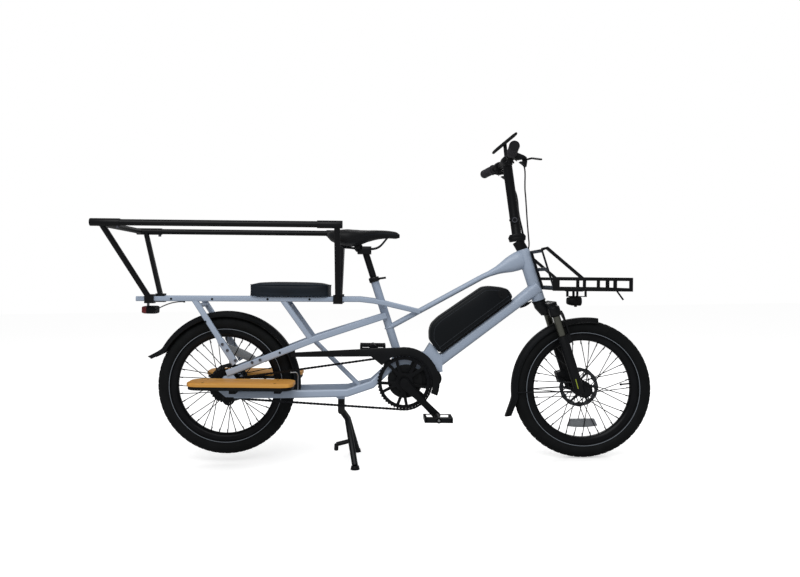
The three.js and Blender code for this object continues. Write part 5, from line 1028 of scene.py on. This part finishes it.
class BIKE_OT_cranks(bpy.types.Operator):
    """Chainring on forked arms, the right crank arm, and the motor's cover"""
    bl_idname = "bike.cranks"
    bl_label = "Cranks"
    RING_TEETH, ARMS = 50, 5
    FORK = [(0.030, 0.10), (0.046, 0.14), (0.062, 0.165), (0.0885, 0.20)]  # radius, and angle aside, of half a fork

    def execute(self, context):
        ring = [toothed(self.RING_TEETH, 0.1012, 0.0965, 0.0835, CHAIN_Y - 0.0010, CHAIN_Y + 0.0010),
                disc(0.0962, CHAIN_Y - 0.0019, CHAIN_Y + 0.0019, 0.0835, 0.0008, 120)]
        build("chainring", moved(joined(ring), CRANK_CENTRE), "oxide", "crank_set", ["crank_right"])
        build("chainring_spider", moved(self.spider(), CRANK_CENTRE), "anodised", "crank_set")
        root, end = CRANK_CENTRE + (0, -0.0805, 0), crank_end(-1, -0.0805)
        t = np.linspace(0, 1, 24)
        waist = np.sin(math.pi * t)
        half = 0.0190 * (1 - t) + 0.0140 * t - 0.0035 * waist
        arm = [sweep(np.linspace(root, end, 24), sections(20, 4.5, half, 0.0078 - 0.0012 * waist)),
               moved(disc(0.0188, -0.0078, 0.0078, 0.0003, 0.0018, 40), root),
               moved(disc(0.0142, -0.0078, 0.0078, 0.0003, 0.0018, 40), end),
               bolt(end + (0, -0.0072, 0), (0, -1, 0), 0.0062, 0.003)]
        build("right_crank_arm", joined(arm), "anodised", "crank_set")
        spindle = rod(crank_end(-1, -0.0870), crank_end(-1, -0.188), 0.0048, 16, 0.001)
        build("right_spindle", spindle, "bright", "crank_set")
        build("motor_cover", self.motor_cover(), "nylon", "frame", bevel=0.0006)
        return {"FINISHED"}

    def spider(self):
        """Five forked arms that bow outwards, on a disc and a spindle end."""
        arms = []
        for k in range(self.ARMS):
            a = CRANK_ANGLE + math.radians(21.5) + TAU * k / self.ARMS
            for side in SIDES:
                radius, angle = catmull([(reach, a + side * off) for reach, off in self.FORK], 14).T
                taper = np.linspace(1, 0.85, 14)
                arms.append(sweep(polar(radius, angle, CHAIN_Y - 0.0016), sections(16, 5, 0.0064 * taper,
                                                                                  0.0024 * taper)))
        arms.append(disc(0.034, CHAIN_Y - 0.0045, CHAIN_Y + 0.0028, 0.0095, 0.0012, 64))
        arms.append(turned([(0.0004, -0.0885), (0.0115, -0.0885), (0.0130, -0.0870), (0.0185, -0.0868),
                            (0.0185, -0.0560), (0.0004, -0.0560)], 48))
        return joined(arms)

    def motor_cover(self):
        """Cover plate, its screws and cooling ribs on the drive unit."""
        parts = [moved(disc(0.0620, -0.0432, -0.0414, 0.021, 0.0008, 96), CRANK_CENTRE + (0.006, 0, 0.003))]
        parts += [bolt(CRANK_CENTRE + polar(0.0505, TAU * (k + 0.3) / 6, -0.0431), (0, -1, 0), 0.0034, 0.0024)
                  for k in range(6)]
        parts += [slab((x, -0.0386, 0.018), (x + 0.005, -0.0362, 0.055)) for x in 0.742 + 0.012 * np.arange(5)]
        return joined(parts)


class BIKE_OT_pedals(bpy.types.Operator):
    """Platform pedals: a cage with rubber treads on a central barrel"""
    bl_idname = "bike.pedals"
    bl_label = "Pedals"
    BAR_X = (-0.0455, 0.0455)
    # windows of the inner plate are what these boxes leave: x and z of their corners
    INNER = [(-0.0455, -0.0085, 0.0455, -0.0030), (-0.0455, 0.0060, 0.0455, 0.0085),
             (-0.0120, -0.0085, 0.0120, 0.0085)]

    def execute(self, context):
        for side in SIDES:
            name, spot = SIDE_NAME[side], crank_end(side, 0)
            body = name + "_pedal"
            near, far = side * 0.0972, side * 0.1848
            low, high = min(near, far), max(near, far)
            out, into = far - side * 0.004, near + side * 0.004
            cage = [slab((x - 0.0045, low, -0.0085), (x + 0.0045, high, 0.0085)) for x in self.BAR_X]
            cage.append(slab((-0.0455, out - 0.004, -0.0085), (0.0455, out + 0.004, 0.0085)))
            cage += [slab((x0, into - 0.004, z0), (x1, into + 0.004, z1)) for x0, z0, x1, z1 in self.INNER]
            cage.append(rod((0, low, 0), (0, high, 0), 0.0105, 24, 0.001))
            build("pedal_cage_" + name, moved(joined(cage), spot), "nylon", body, ["pedal_" + name],
                  bevel=0.0015)
            treads = [slab((x - 0.0042, y - 0.0032, z), (x + 0.0042, y + 0.0032, z + 0.0020)) for x in self.BAR_X
                      for z in (-0.0096, 0.0076) for y in np.linspace(low + 0.010, high - 0.010, 7)]
            build("pedal_treads_" + name, moved(joined(treads), spot), "rubber", body, bevel=0.0006)
            lenses = [slab((x, low + 0.018, -0.0055), (x + 0.0003, high - 0.018, 0.0055)) for x in (0.0499, -0.0502)]
            build("pedal_reflectors_" + name, moved(joined(lenses), spot), "reflector", body)
        return {"FINISHED"}


# ---- Battery ------------------------------------------------------------------------------------

class BIKE_OT_battery(bpy.types.Operator):
    """Battery case with a line round each side panel, and its lock"""
    bl_idname = "bike.battery"
    bl_label = "Battery"
    START, LENGTH, BASE, HEIGHT, HALF = 0.0045, 0.3475, 0.0286, 0.107, 0.0449
    # corners of the case's side, as shares of its length and height
    SHARES = [(0, 0.01), (0, 0.53), (0.062, 0.81), (0.122, 0.95), (0.223, 1), (0.804, 0.92), (0.868, 0.81),
              (0.954, 0.55), (1, 0.35), (0.997, 0.11), (0.983, 0)]
    # distance in from the case's side, and how much the outline shrinks there
    EDGE = [(0.0, 0.008), (0.0022, 0.0028), (0.007, 0.0)]
    LOCK = [(0.0005, -0.0018), (0.0175, -0.0018), (0.0200, 0.0), (0.0200, 0.004), (0.0005, 0.004)]
    KEYHOLE = [(0.0005, -0.0030), (0.0065, -0.0030), (0.0072, -0.0018), (0.0072, 0.002), (0.0005, 0.002)]

    def execute(self, context):
        outline = self.rounded(np.array(self.SHARES) * (self.LENGTH, self.HEIGHT) + (self.START, self.BASE), 0.010)
        rings = [at_y(self.inset(outline, shrink), inward - self.HALF) for inward, shrink in self.EDGE]
        rings += [at_y(self.inset(outline, shrink), self.HALF - inward) for inward, shrink in self.EDGE[::-1]]
        case = np.concatenate(rings), capped(len(rings), len(outline))
        build("battery_case", case, "case", "battery_pack", ["battery"], on_down_tube)
        panel = self.inset(outline, 0.015)
        lines = [hoop(at_y(panel, side * (self.HALF - 0.0002)), 0.0006, 6) for side in SIDES]
        build("battery_panel_lines", joined(lines), "case_line", "battery_pack", place=on_down_tube)
        lock = moved(joined([turned(self.LOCK, 56), turned(self.KEYHOLE, 32)]),
                     (0.325, 0.0005 - self.HALF, self.BASE + 0.034))
        build("battery_lock", lock, "nylon", "battery_pack", place=on_down_tube)
        return {"FINISHED"}

    def rounded(self, outline, radius):
        """Each corner becomes a short quadratic curve that starts and ends radius from it."""
        ends = []
        for shift in (1, -1):
            step = np.roll(outline, shift, 0) - outline
            size = np.linalg.norm(step, axis=1, keepdims=True)
            ends.append((outline + step / size * np.minimum(radius, size * 0.45))[:, None])
        t = np.linspace(0, 1, 6)[None, :, None]
        curve = (1 - t) ** 2 * ends[0] + 2 * t * (1 - t) * outline[:, None] + t ** 2 * ends[1]
        return curve.reshape(-1, 2)

    def inset(self, outline, amount):
        """Moves an outline inwards along its own normals."""
        tangent = np.roll(outline, -1, 0) - np.roll(outline, 1, 0)
        tangent /= np.linalg.norm(tangent, axis=1, keepdims=True)
        normal = np.stack((tangent[:, 1], -tangent[:, 0]), -1)
        inwards = np.sign(((outline.mean(0) - outline) * normal).sum(1)).mean()
        return outline + normal * amount * np.sign(inwards)


# ---- Soft pieces --------------------------------------------------------------------------------

class BIKE_OT_cushion(bpy.types.Operator):
    """Passenger cushion: a crowned foam block in vinyl, with piping round both edges"""
    bl_idname = "bike.cushion"
    bl_label = "Cushion"
    REAR, FRONT, HALF, BOTTOM, HEIGHT, CROWN = 0.094, 0.387, 0.0915, 0.3369, 0.050, 0.007
    HELD = 0.012  # height of the rim that the cloth keeps in place
    MOST = 0.003  # furthest that the cloth may move a point

    def execute(self, context):
        outline = squircle(160, 9)
        near = np.clip(2 - np.abs(outline[:, 0]) - np.abs(outline[:, 1]), 0, 1)
        rows = []
        for share in np.linspace(0, 1, 18):
            pull = 0.004 * abs(2 * share - 1) ** 8 + 0.0045 * math.sin(math.pi * share) * near
            rows.append(self.ring(outline, 1, pull, self.BOTTOM + share * (self.HEIGHT - self.CROWN)))
        for shrink in np.linspace(0.97, 0.04, 16):
            rows.append(self.ring(outline, shrink, 0, self.BOTTOM + self.HEIGHT - self.CROWN * shrink ** 3))
        pad = np.concatenate(rows), capped(len(rows), len(outline))
        cushion = build("cushion_pad", pad, "cushion", "frame", ["cushion"])
        self.puff(cushion)
        piping = [hoop(self.ring(outline, 1, 0.001, z), 0.0016, 8, (0, 0, 1))
                  for z in (self.BOTTOM + 0.003, self.BOTTOM + self.HEIGHT - 0.0085)]
        build("cushion_piping", joined(piping), "thread", "frame")
        return {"FINISHED"}

    def ring(self, outline, share, pull, z):
        """The cushion's outline at a share of its size, pulled in by some metres."""
        x = (self.REAR + self.FRONT) / 2 + outline[:, 0] * ((self.FRONT - self.REAR) / 2 * share - pull)
        return at_z(np.stack((x, outline[:, 1] * (self.HALF * share - pull)), -1), z)

    def puff(self, obj):
        """Blows the cover up with cloth pressure, holding its base and edge, and keeps the result."""
        scene = bpy.context.scene
        obj.modifiers.remove(obj.modifiers.get("crisp_edges"))
        before = self.points(obj.data)
        group = obj.vertex_groups.new(name="held")
        height = before @ np.array((math.sin(PITCH), 0, math.cos(PITCH)))
        group.add(np.where(height < height.min() + self.HELD)[0].tolist(), 1.0, "REPLACE")
        cloth = obj.modifiers.new("cloth", "CLOTH")
        cloth.settings.vertex_group_mass = "held"
        cloth.settings.use_pressure = True
        cloth.settings.uniform_pressure_force = 4.0
        cloth.settings.tension_stiffness = 40
        cloth.settings.compression_stiffness = 40
        cloth.settings.bending_stiffness = 4
        cloth.settings.effector_weights.gravity = 0
        for step in range(1, 16):
            scene.frame_set(step)
        step = self.points(obj.evaluated_get(bpy.context.evaluated_depsgraph_get()).to_mesh()) - before
        size = np.linalg.norm(step, axis=1, keepdims=True)
        step *= np.minimum(1, self.MOST / np.maximum(size, 1e-9))
        obj.modifiers.remove(cloth)
        scene.frame_set(1)
        obj.data.vertices.foreach_set("co", (before + step).ravel())
        obj.data.update()
        dress(obj, sharp=70)

    def points(self, mesh):
        """A mesh's points as an array."""
        flat = np.zeros(len(mesh.vertices) * 3)
        mesh.vertices.foreach_get("co", flat)
        return flat.reshape(-1, 3)


class BIKE_OT_saddle(bpy.types.Operator):
    """Saddle: a padded shell on two steel rails, with a seam along each side"""
    bl_idname = "bike.saddle"
    bl_label = "Saddle"
    REAR, LENGTH, TOP, DEPTH, HALF = 0.3728, 0.272, 0.590, 0.066, 0.084
    # along the saddle: place, half width, height of its middle and half depth, all as shares
    SHARES = [(0, 0.3, 0.64, 0.1), (0.05, 0.66, 0.6, 0.28), (0.15, 0.92, 0.54, 0.42), (0.28, 1, 0.5, 0.5),
              (0.42, 0.86, 0.52, 0.45), (0.56, 0.56, 0.62, 0.33), (0.7, 0.36, 0.7, 0.26), (0.84, 0.26, 0.72, 0.22),
              (0.95, 0.21, 0.68, 0.2), (1, 0.1, 0.64, 0.1)]
    RAIL_Y, CLAMP = 0.022, (0.4905, 0.0310, 0.521)

    def x(self, share):
        """Place of a share of the saddle's length."""
        return self.REAR + self.LENGTH * share

    def z(self, share):
        """Height of a share of the saddle's depth."""
        return self.TOP - self.DEPTH * (1 - share)

    def execute(self, context):
        table = np.array(self.SHARES)
        along, wide, middle = catmull(table[:, :3], 70).T
        deep = np.interp(along, table[:, 0], table[:, 3])
        section = sections(64, 2.6, self.DEPTH * deep, self.HALF * wide)
        points = np.stack((np.broadcast_to(self.x(along)[:, None], section.shape[:2]), section[..., 1],
                           self.z(middle)[:, None] + section[..., 0]), -1)
        saddle = build("saddle_cover", (points, capped(70, 64)), "saddle", "seat", ["saddle"])
        saddle.modifiers["crisp_edges"].split_angle = math.radians(80)
        share = np.linspace(0.03, 0.97, 60)
        y = (np.interp(share, along, wide) * self.HALF - 0.0004) * 0.985
        z = self.z(np.interp(share, along, middle)) + 0.002
        seams = [sweep(np.stack((self.x(share), side * y, z), -1), circle(6) * 0.0011, (0, 0, 1)) for side in SIDES]
        build("saddle_seams", joined(seams), "thread", "seat")
        rails = []
        for y in (-self.RAIL_Y, self.RAIL_Y):
            rails.append(tube([(self.x(0.16), y * 1.6, self.z(0.4)), (0.432, y, 0.5245), (0.4538, y, 0.521),
                               (0.560, y, 0.521), (self.x(0.84), y * 0.4, self.z(0.58))], 0.0035, 60, 14))
        build("saddle_rails", joined(rails), "oxide", "seat")
        x, y, z = self.CLAMP
        clamp = [rod((x, -y, z), (x, y, z), 0.0165, 40, 0.0025)]
        clamp += [bolt((x, side * y, z), (0, side, 0), 0.0070, 0.004) for side in SIDES]
        build("seat_clamp", joined(clamp), "powder", "seat")
        return {"FINISHED"}


# ---- Boards, fenders, lights --------------------------------------------------------------------

class BIKE_OT_footboards(bpy.types.Operator):
    """Bamboo footboards with rounded corners and their screws"""
    bl_idname = "bike.footboards"
    bl_label = "Footboards"
    MIDDLE_X, MIDDLE_Y, HALF_X, HALF_Y, CORNER = 0.084, 0.163, 0.187, 0.073, 0.0438
    EDGE = [(0.0242, 0.0), (0.0335, 0.0), (0.0352, 0.0007), (0.0359, 0.0022)]  # height, and inset there

    def execute(self, context):
        for side in SIDES:
            name = "footboard_" + SIDE_NAME[side]
            rings = [at_z(self.outline(side, inset), z) for z, inset in self.EDGE]
            board = np.concatenate(rings), capped(len(rings), len(rings[0]))
            build(name + "_wood", board, "bamboo", "frame", [name])
            screws = [bolt((x, side * y, 0.0350), (0, 0, 1), 0.0045, 0.0014) for x in (-0.045, 0.207)
                      for y in (0.118, 0.208)]
            build(name + "_screws", joined(screws), "oxide", "frame")
        return {"FINISHED"}

    def outline(self, side, inset):
        """A rectangle with round corners: four quarter circles, joined."""
        reach = np.array((self.HALF_X, self.HALF_Y)) - inset - self.CORNER
        corners = []
        for end_x, end_y, start in ((1, -1, -0.25), (1, 1, 0), (-1, 1, 0.25), (-1, -1, 0.5)):
            angle = TAU * (start + np.linspace(0, 0.25, 14))
            corners.append(self.CORNER * np.stack((np.cos(angle), np.sin(angle)), -1) + (end_x, end_y) * reach)
        return np.concatenate(corners) + (self.MIDDLE_X, side * self.MIDDLE_Y)


class BIKE_OT_fenders(bpy.types.Operator):
    """Fenders: a creased band over each tyre that flares into a flap, with the front's stays and the rear's tab"""
    bl_idname = "bike.fenders"
    bl_label = "Fenders"
    FRONT = dict(radius=0.262, half=0.033, drop=0.017, start=78, end=186, flap=200.5, flare=0.042, nose=0.006)
    REAR = dict(radius=0.275, half=0.034, drop=0.018, start=-4, end=150, flap=160.5, flare=0.036, nose=0.0)
    WALL = 0.0026

    def execute(self, context):
        ahead = (WHEELBASE, 0, 0)
        build("front_fender_band", moved(self.band(self.FRONT), ahead), "nylon", "sliding_fork",
              ["front_fender"])
        stays = []
        for side in SIDES:
            foot = polar(0.2476, math.radians(183), side * 0.0335)
            stays.append(tube([foot, (-0.14, side * 0.049, -0.0075), (-0.034, side * 0.0618, -0.002)], 0.0026, 30))
            stays.append(bolt(foot, (0, side, 0), 0.0045, 0.003))
        build("front_fender_stays", moved(joined(stays), ahead), "oxide", "sliding_fork")
        mark = rod((1.2900, -0.0860, 0.0460), (1.3000, -0.0860, 0.0110), 0.0016, 12)
        build("fork_mark", mark, "lime", "sliding_fork")
        build("rear_fender_band", self.band(self.REAR), "nylon", "frame", ["rear_fender"])
        tab = np.linspace(polar(self.REAR["radius"], math.radians(107.6)), (-0.103, 0, 0.2995), 4)
        build("rear_fender_tab", sweep(tab, squircle(12, 6) * (0.002, 0.009)), "oxide", "frame")
        return {"FINISHED"}

    def band(self, f):
        """Across: the crown is flat and the edges hang by drop times a smooth step; along: an arc that leaves the
        circle over the flap by flare * share^1.5, and over the front end by nose * share^1.6."""
        across = np.linspace(-1, 1, 33)
        step = 0.5 - 0.5 * np.cos(np.clip((np.abs(across) - 0.34) / 0.66, 0, 1) * math.pi)
        hang = f["drop"] * step ** 0.9
        crease = 0.0008 * np.exp(-((np.abs(across) - 0.3) / 0.06) ** 2)
        outer = np.stack((f["radius"] + self.WALL - hang + crease, across * f["half"]), -1)
        inner = np.stack((f["radius"] - hang, across * (f["half"] - 0.0012)), -1)[::-1]
        reach, y = np.concatenate((outer, inner)).T
        turn = np.concatenate((np.linspace(f["start"], f["end"], 90), np.linspace(f["end"], f["flap"], 16)[1:]))
        onto = np.clip((turn - f["end"]) / (f["flap"] - f["end"]), 0, 1)
        nose = np.clip((f["start"] + 22 - turn) / 22, 0, 1)
        lift = f["flare"] * onto ** 1.5 + f["nose"] * nose ** 1.6
        points = polar(reach + lift[:, None], np.radians(turn)[:, None], y)
        return points.reshape(-1, 3), capped(len(turn), len(y))


class BIKE_OT_post_latch(bpy.types.Operator):
    """Folding latch of the handlepost: its round lock with a pale ring, and its button"""
    bl_idname = "bike.post_latch"
    bl_label = "Post latch"

    def execute(self, context):
        spot = np.array((1.0735, -0.0175, 0.6303))
        lock = turned([(0.0004, 0.004), (0.0128, 0.004), (0.0128, -0.0035), (0.0116, -0.0050), (0.0004, -0.0050)], 48)
        button = rod((-0.017, 0.012, -0.001), (-0.006, 0.012, 0.001), 0.0042, 16, 0.001)
        build("post_lock", moved(joined([lock, button]), spot), "nylon", "bar_assembly")
        ring = turned([(0.0070, -0.0044), (0.0070, -0.0056), (0.0100, -0.0056), (0.0100, -0.0044)], 48)
        build("post_lock_ring", moved(ring, spot), "bolt", "bar_assembly")
        return {"FINISHED"}


class BIKE_OT_lights(bpy.types.Operator):
    """Headlight, tail light and wheel reflectors"""
    bl_idname = "bike.lights"
    bl_label = "Lights"
    # boxes from the headlight's middle ahead and back: x from, y half, z from, x to, z to
    MOUNT = [(-0.030, 0.016, 0.3648, 0.030, 0.3687), (-0.028, 0.0075, 0.3450, 0.028, 0.3480),
             (-0.028, 0.0075, 0.3455, -0.022, 0.3665), (-0.005, 0.0075, 0.3455, 0.001, 0.3665)]
    BRACKET = [(0.010, 0.0075, 0.3450, 0.046, 0.3478), (0.010, 0.0075, 0.3450, 0.015, 0.3687),
               (0.041, 0.0075, 0.3450, 0.046, 0.3687)]

    def execute(self, context):
        self.headlight(1.304, 0.329)
        self.tail_light(-0.291, 0.280)
        for end, turn, y in (("front", -90, 0.0), ("rear", 66, 0.0015)):
            lens = self.wheel_reflector(math.radians(turn - 90), y)
            build(end + "_wheel_reflector", lens, "reflector", end + "_wheel", place=WHEELS[end],
                  bevel=0.0012)
        return {"FINISHED"}

    def headlight(self, x, z):
        """A ribbed case that swells forwards, its mount under the rack, and its lens."""
        t = np.linspace(0, 1, 60)
        swell = 0.7 + 0.3 * np.sin(np.clip(t * 2.2, 0, 1) * math.pi / 2)
        swell = swell * (1 - 0.05 * ((np.sin(TAU * 6 * t) < 0) & (t > 0.16) & (t < 0.84)))
        path = np.linspace((x - 0.0248, 0, z), (x + 0.0222, 0, z), 60)
        parts = [sweep(path, sections(48, 2.7, 0.0178 * swell, 0.0264 * swell)),
                 rod((x + 0.006, 0, z - 0.0222), (x + 0.006, 0, z), 0.0055, 16, 0.0012)]
        bars, bracket = ([slab((x + x0, -y, z0), (x + x1, y, z1)) for x0, y, z0, x1, z1 in boxes]
                         for boxes in (self.MOUNT, self.BRACKET))
        build("headlight_bracket", joined(bracket), "powder", "frame", bevel=0.0005)
        build("headlight_body", joined(parts + bars), "nylon", "frame", ["headlight"], bevel=0.0005)
        glass = np.array([(x + 0.0222 + 0.0026 * share, 0, z) for share in (0, 0.8, 1.0)])
        lens = sweep(glass, sections(48, 2.7, (0.0158, 0.0150, 0.0130), (0.0242, 0.0232, 0.0208)))
        build("headlight_glass", lens, "clear", "frame")

    def tail_light(self, x, z):
        """A flat case whose last third is its lens, on a stem."""
        t = np.linspace(0, 1, 12)
        path = np.linspace((x + 0.0255, 0, z), (x - 0.0245, 0, z), 12)
        shape = np.interp(t, [0, 0.1, 0.85, 1], [0.9, 1, 1, 0.86])
        section = sections(40, 5, 0.0148 * shape, 0.0338 * shape)
        build("tail_light_body", sweep(path[:8], section[:8]), "nylon", "frame", ["tail_light"])
        build("tail_light_stem", rod((x - 0.009, 0, z), (x - 0.009, 0, 0.3168), 0.005), "silver", "frame")
        build("tail_light_glass", sweep(path[7:], section[7:] * 0.985), "red", "frame")

    def wheel_reflector(self, angle, y):
        """A lens between the spokes: straight towards the axle, bowed towards the rim, with raked ends."""
        outline = [(0.0575 * f, 0.1455 - 0.0050 * f ** 2) for f in np.linspace(-1, 1, 20)]
        x, z = np.array(outline + [(0.0450, 0.1135), (-0.0450, 0.1135)]).T
        c, s = math.cos(angle), math.sin(angle)
        return plate(np.stack((x * c - z * s, x * s + z * c), -1), y - 0.0042, y + 0.0042)


class BIKE_OT_grips(bpy.types.Operator):
    """Grips with fine rings and a flared inner collar, the bar's clamp and controls, and the display"""
    bl_idname = "bike.grips"
    bl_label = "Grips and display"
    BAR_Z = 0.288
    DISPLAY_LOW = turn_y(np.array((0.9962, 0, 0.8866)) - POST_FOOT, POST_LEAN)
    DISPLAY_RISE = math.radians(40.2 - POST_DEGREES)

    def execute(self, context):
        for side in SIDES:
            self.grip(side)
        self.controls()
        self.display()
        return {"FINISHED"}

    def bar_point(self, side, y):
        """The bar's middle, on the post, at a distance y from the bike's middle plane."""
        share = (y - 0.070) / (0.332 - 0.070)
        return np.array((-0.034 * share, side * y, self.BAR_Z + 0.004 * share))

    def grip(self, side):
        """A sleeve that bulges a little and has 20 rings, with its end cap."""
        start, end = self.bar_point(side, 0.205), self.bar_point(side, 0.3355)
        t = np.linspace(0, 1, 90)
        radius = 0.0162 + 0.0012 * np.sin(math.pi * t) + 0.00035 * np.sign(np.sin(TAU * 20 * t))
        radius = np.where(t < 0.16, 0.0192 - 0.015 * t, radius)
        radius = np.where(t > 0.985, 0.0165, np.where(t > 0.93, 0.0180, radius))
        sleeve = sweep(start + (end - start) * t[:, None], circle(40)[None] * radius[:, None, None], (1, 0, 0))
        name = "grip_" + SIDE_NAME[side]
        build(name + "_sleeve", sleeve, "grip", "bar_assembly", [name], on_post)
        tip = (end - start) / np.linalg.norm(end - start)
        cap = rod(end - tip * 0.001, end + tip * 0.0012, 0.0158, 32, 0.0006)
        build(name + "_cap", cap, "nylon", "bar_assembly", place=on_post)

    def controls(self):
        """Bar clamp with its four bolts, the shifter on the right and the buttons on the left."""
        clamp = [rod((0, -0.0245, self.BAR_Z), (0, 0.0245, self.BAR_Z), 0.0205, 40, 0.003)]
        clamp += [bolt((0.0195, y, self.BAR_Z + z), (1, 0, 0), 0.0042, 0.004) for y in (-0.017, 0.017)
                  for z in (-0.009, 0.009)]
        build("bar_clamp", joined(clamp), "anodised", "bar_assembly", place=on_post)
        pods = []
        for side in SIDES:
            start, end = self.bar_point(side, 0.118), self.bar_point(side, 0.146)
            middle = (start + end) / 2
            pods.append(rod(start, end, 0.0178, 32, 0.0025))
            pods.append(rod(middle + (-0.006, 0, -0.012), middle + (-0.010, 0, -0.030), 0.0095, 24, 0.002))
            pods.append(rod(middle + (-0.030, side * 0.004, -0.026), middle + (-0.006, 0, -0.018), 0.0048, 16, 0.002))
        build("bar_controls", joined(pods), "nylon", "bar_assembly", place=on_post)

    def display(self):
        """A flat case on a short stalk, tilted to the rider, with its glass."""
        c, s = math.cos(self.DISPLAY_RISE), math.sin(self.DISPLAY_RISE)
        low, along, normal = self.DISPLAY_LOW, np.array((c, 0, s)), np.array((-s, 0, c))
        thin = 0.0056 * np.interp(np.linspace(0, 1, 60), [0, 0.03, 0.97, 1], [0.7, 1, 1, 0.7])
        stalk = np.linspace(low + along * 0.0525 - normal * 0.002, (0.0, 0, 0.3100), 6)
        parts = [sweep(np.linspace(low, low + along * 0.1055, 60), sections(48, 5, thin, 0.0329)),
                 sweep(stalk, squircle(16, 4) * (0.006, 0.010))]
        build("display_body", joined(parts), "nylon", "bar_assembly", ["display"], on_post)
        glass = np.linspace(low + along * 0.012, low + along * 0.093, 4) + normal * 0.0056
        screen = sweep(glass, squircle(32, 8) * (0.0005, 0.027))
        build("display_screen", screen, "screen", "bar_assembly", place=on_post)


# ---- Panel and main -----------------------------------------------------------------------------

OPERATORS = [BIKE_OT_stage, BIKE_OT_cords, BIKE_OT_cad_finish, BIKE_OT_frame_details, BIKE_OT_tyres, BIKE_OT_rims,
             BIKE_OT_hubs, BIKE_OT_chain, BIKE_OT_cassette, BIKE_OT_cranks, BIKE_OT_pedals, BIKE_OT_battery,
             BIKE_OT_cushion, BIKE_OT_saddle, BIKE_OT_footboards, BIKE_OT_fenders, BIKE_OT_post_latch, BIKE_OT_lights,
             BIKE_OT_grips]
SETTINGS = {"bike_stage": BikeStageSettings, "bike_wheel": BikeWheelSettings, "bike_colour": BikeColourSettings}


class BIKE_PT_panel(bpy.types.Panel):
    """Lists the bike's operators"""
    bl_label = "Cargo bike"
    bl_idname = "BIKE_PT_panel"
    bl_space_type = "VIEW_3D"
    bl_region_type = "UI"
    bl_category = "Bike"

    def draw(self, context):
        for operator in OPERATORS:
            self.layout.operator(operator.bl_idname)


def register():
    for cls in [*SETTINGS.values(), *OPERATORS, BIKE_PT_panel]:
        bpy.utils.register_class(cls)
    for name, group in SETTINGS.items():
        setattr(bpy.types.Scene, name, bpy.props.PointerProperty(type=group))


def unregister():
    for name in SETTINGS:
        delattr(bpy.types.Scene, name)
    for cls in reversed([*SETTINGS.values(), *OPERATORS, BIKE_PT_panel]):
        bpy.utils.unregister_class(cls)


def main():
    register()
    M.update(make_materials(bpy.context.scene.bike_colour))
    for operator in OPERATORS:
        group, call = operator.bl_idname.split(".")
        getattr(getattr(bpy.ops, group), call)()


if __name__ == "__main__":
    main()
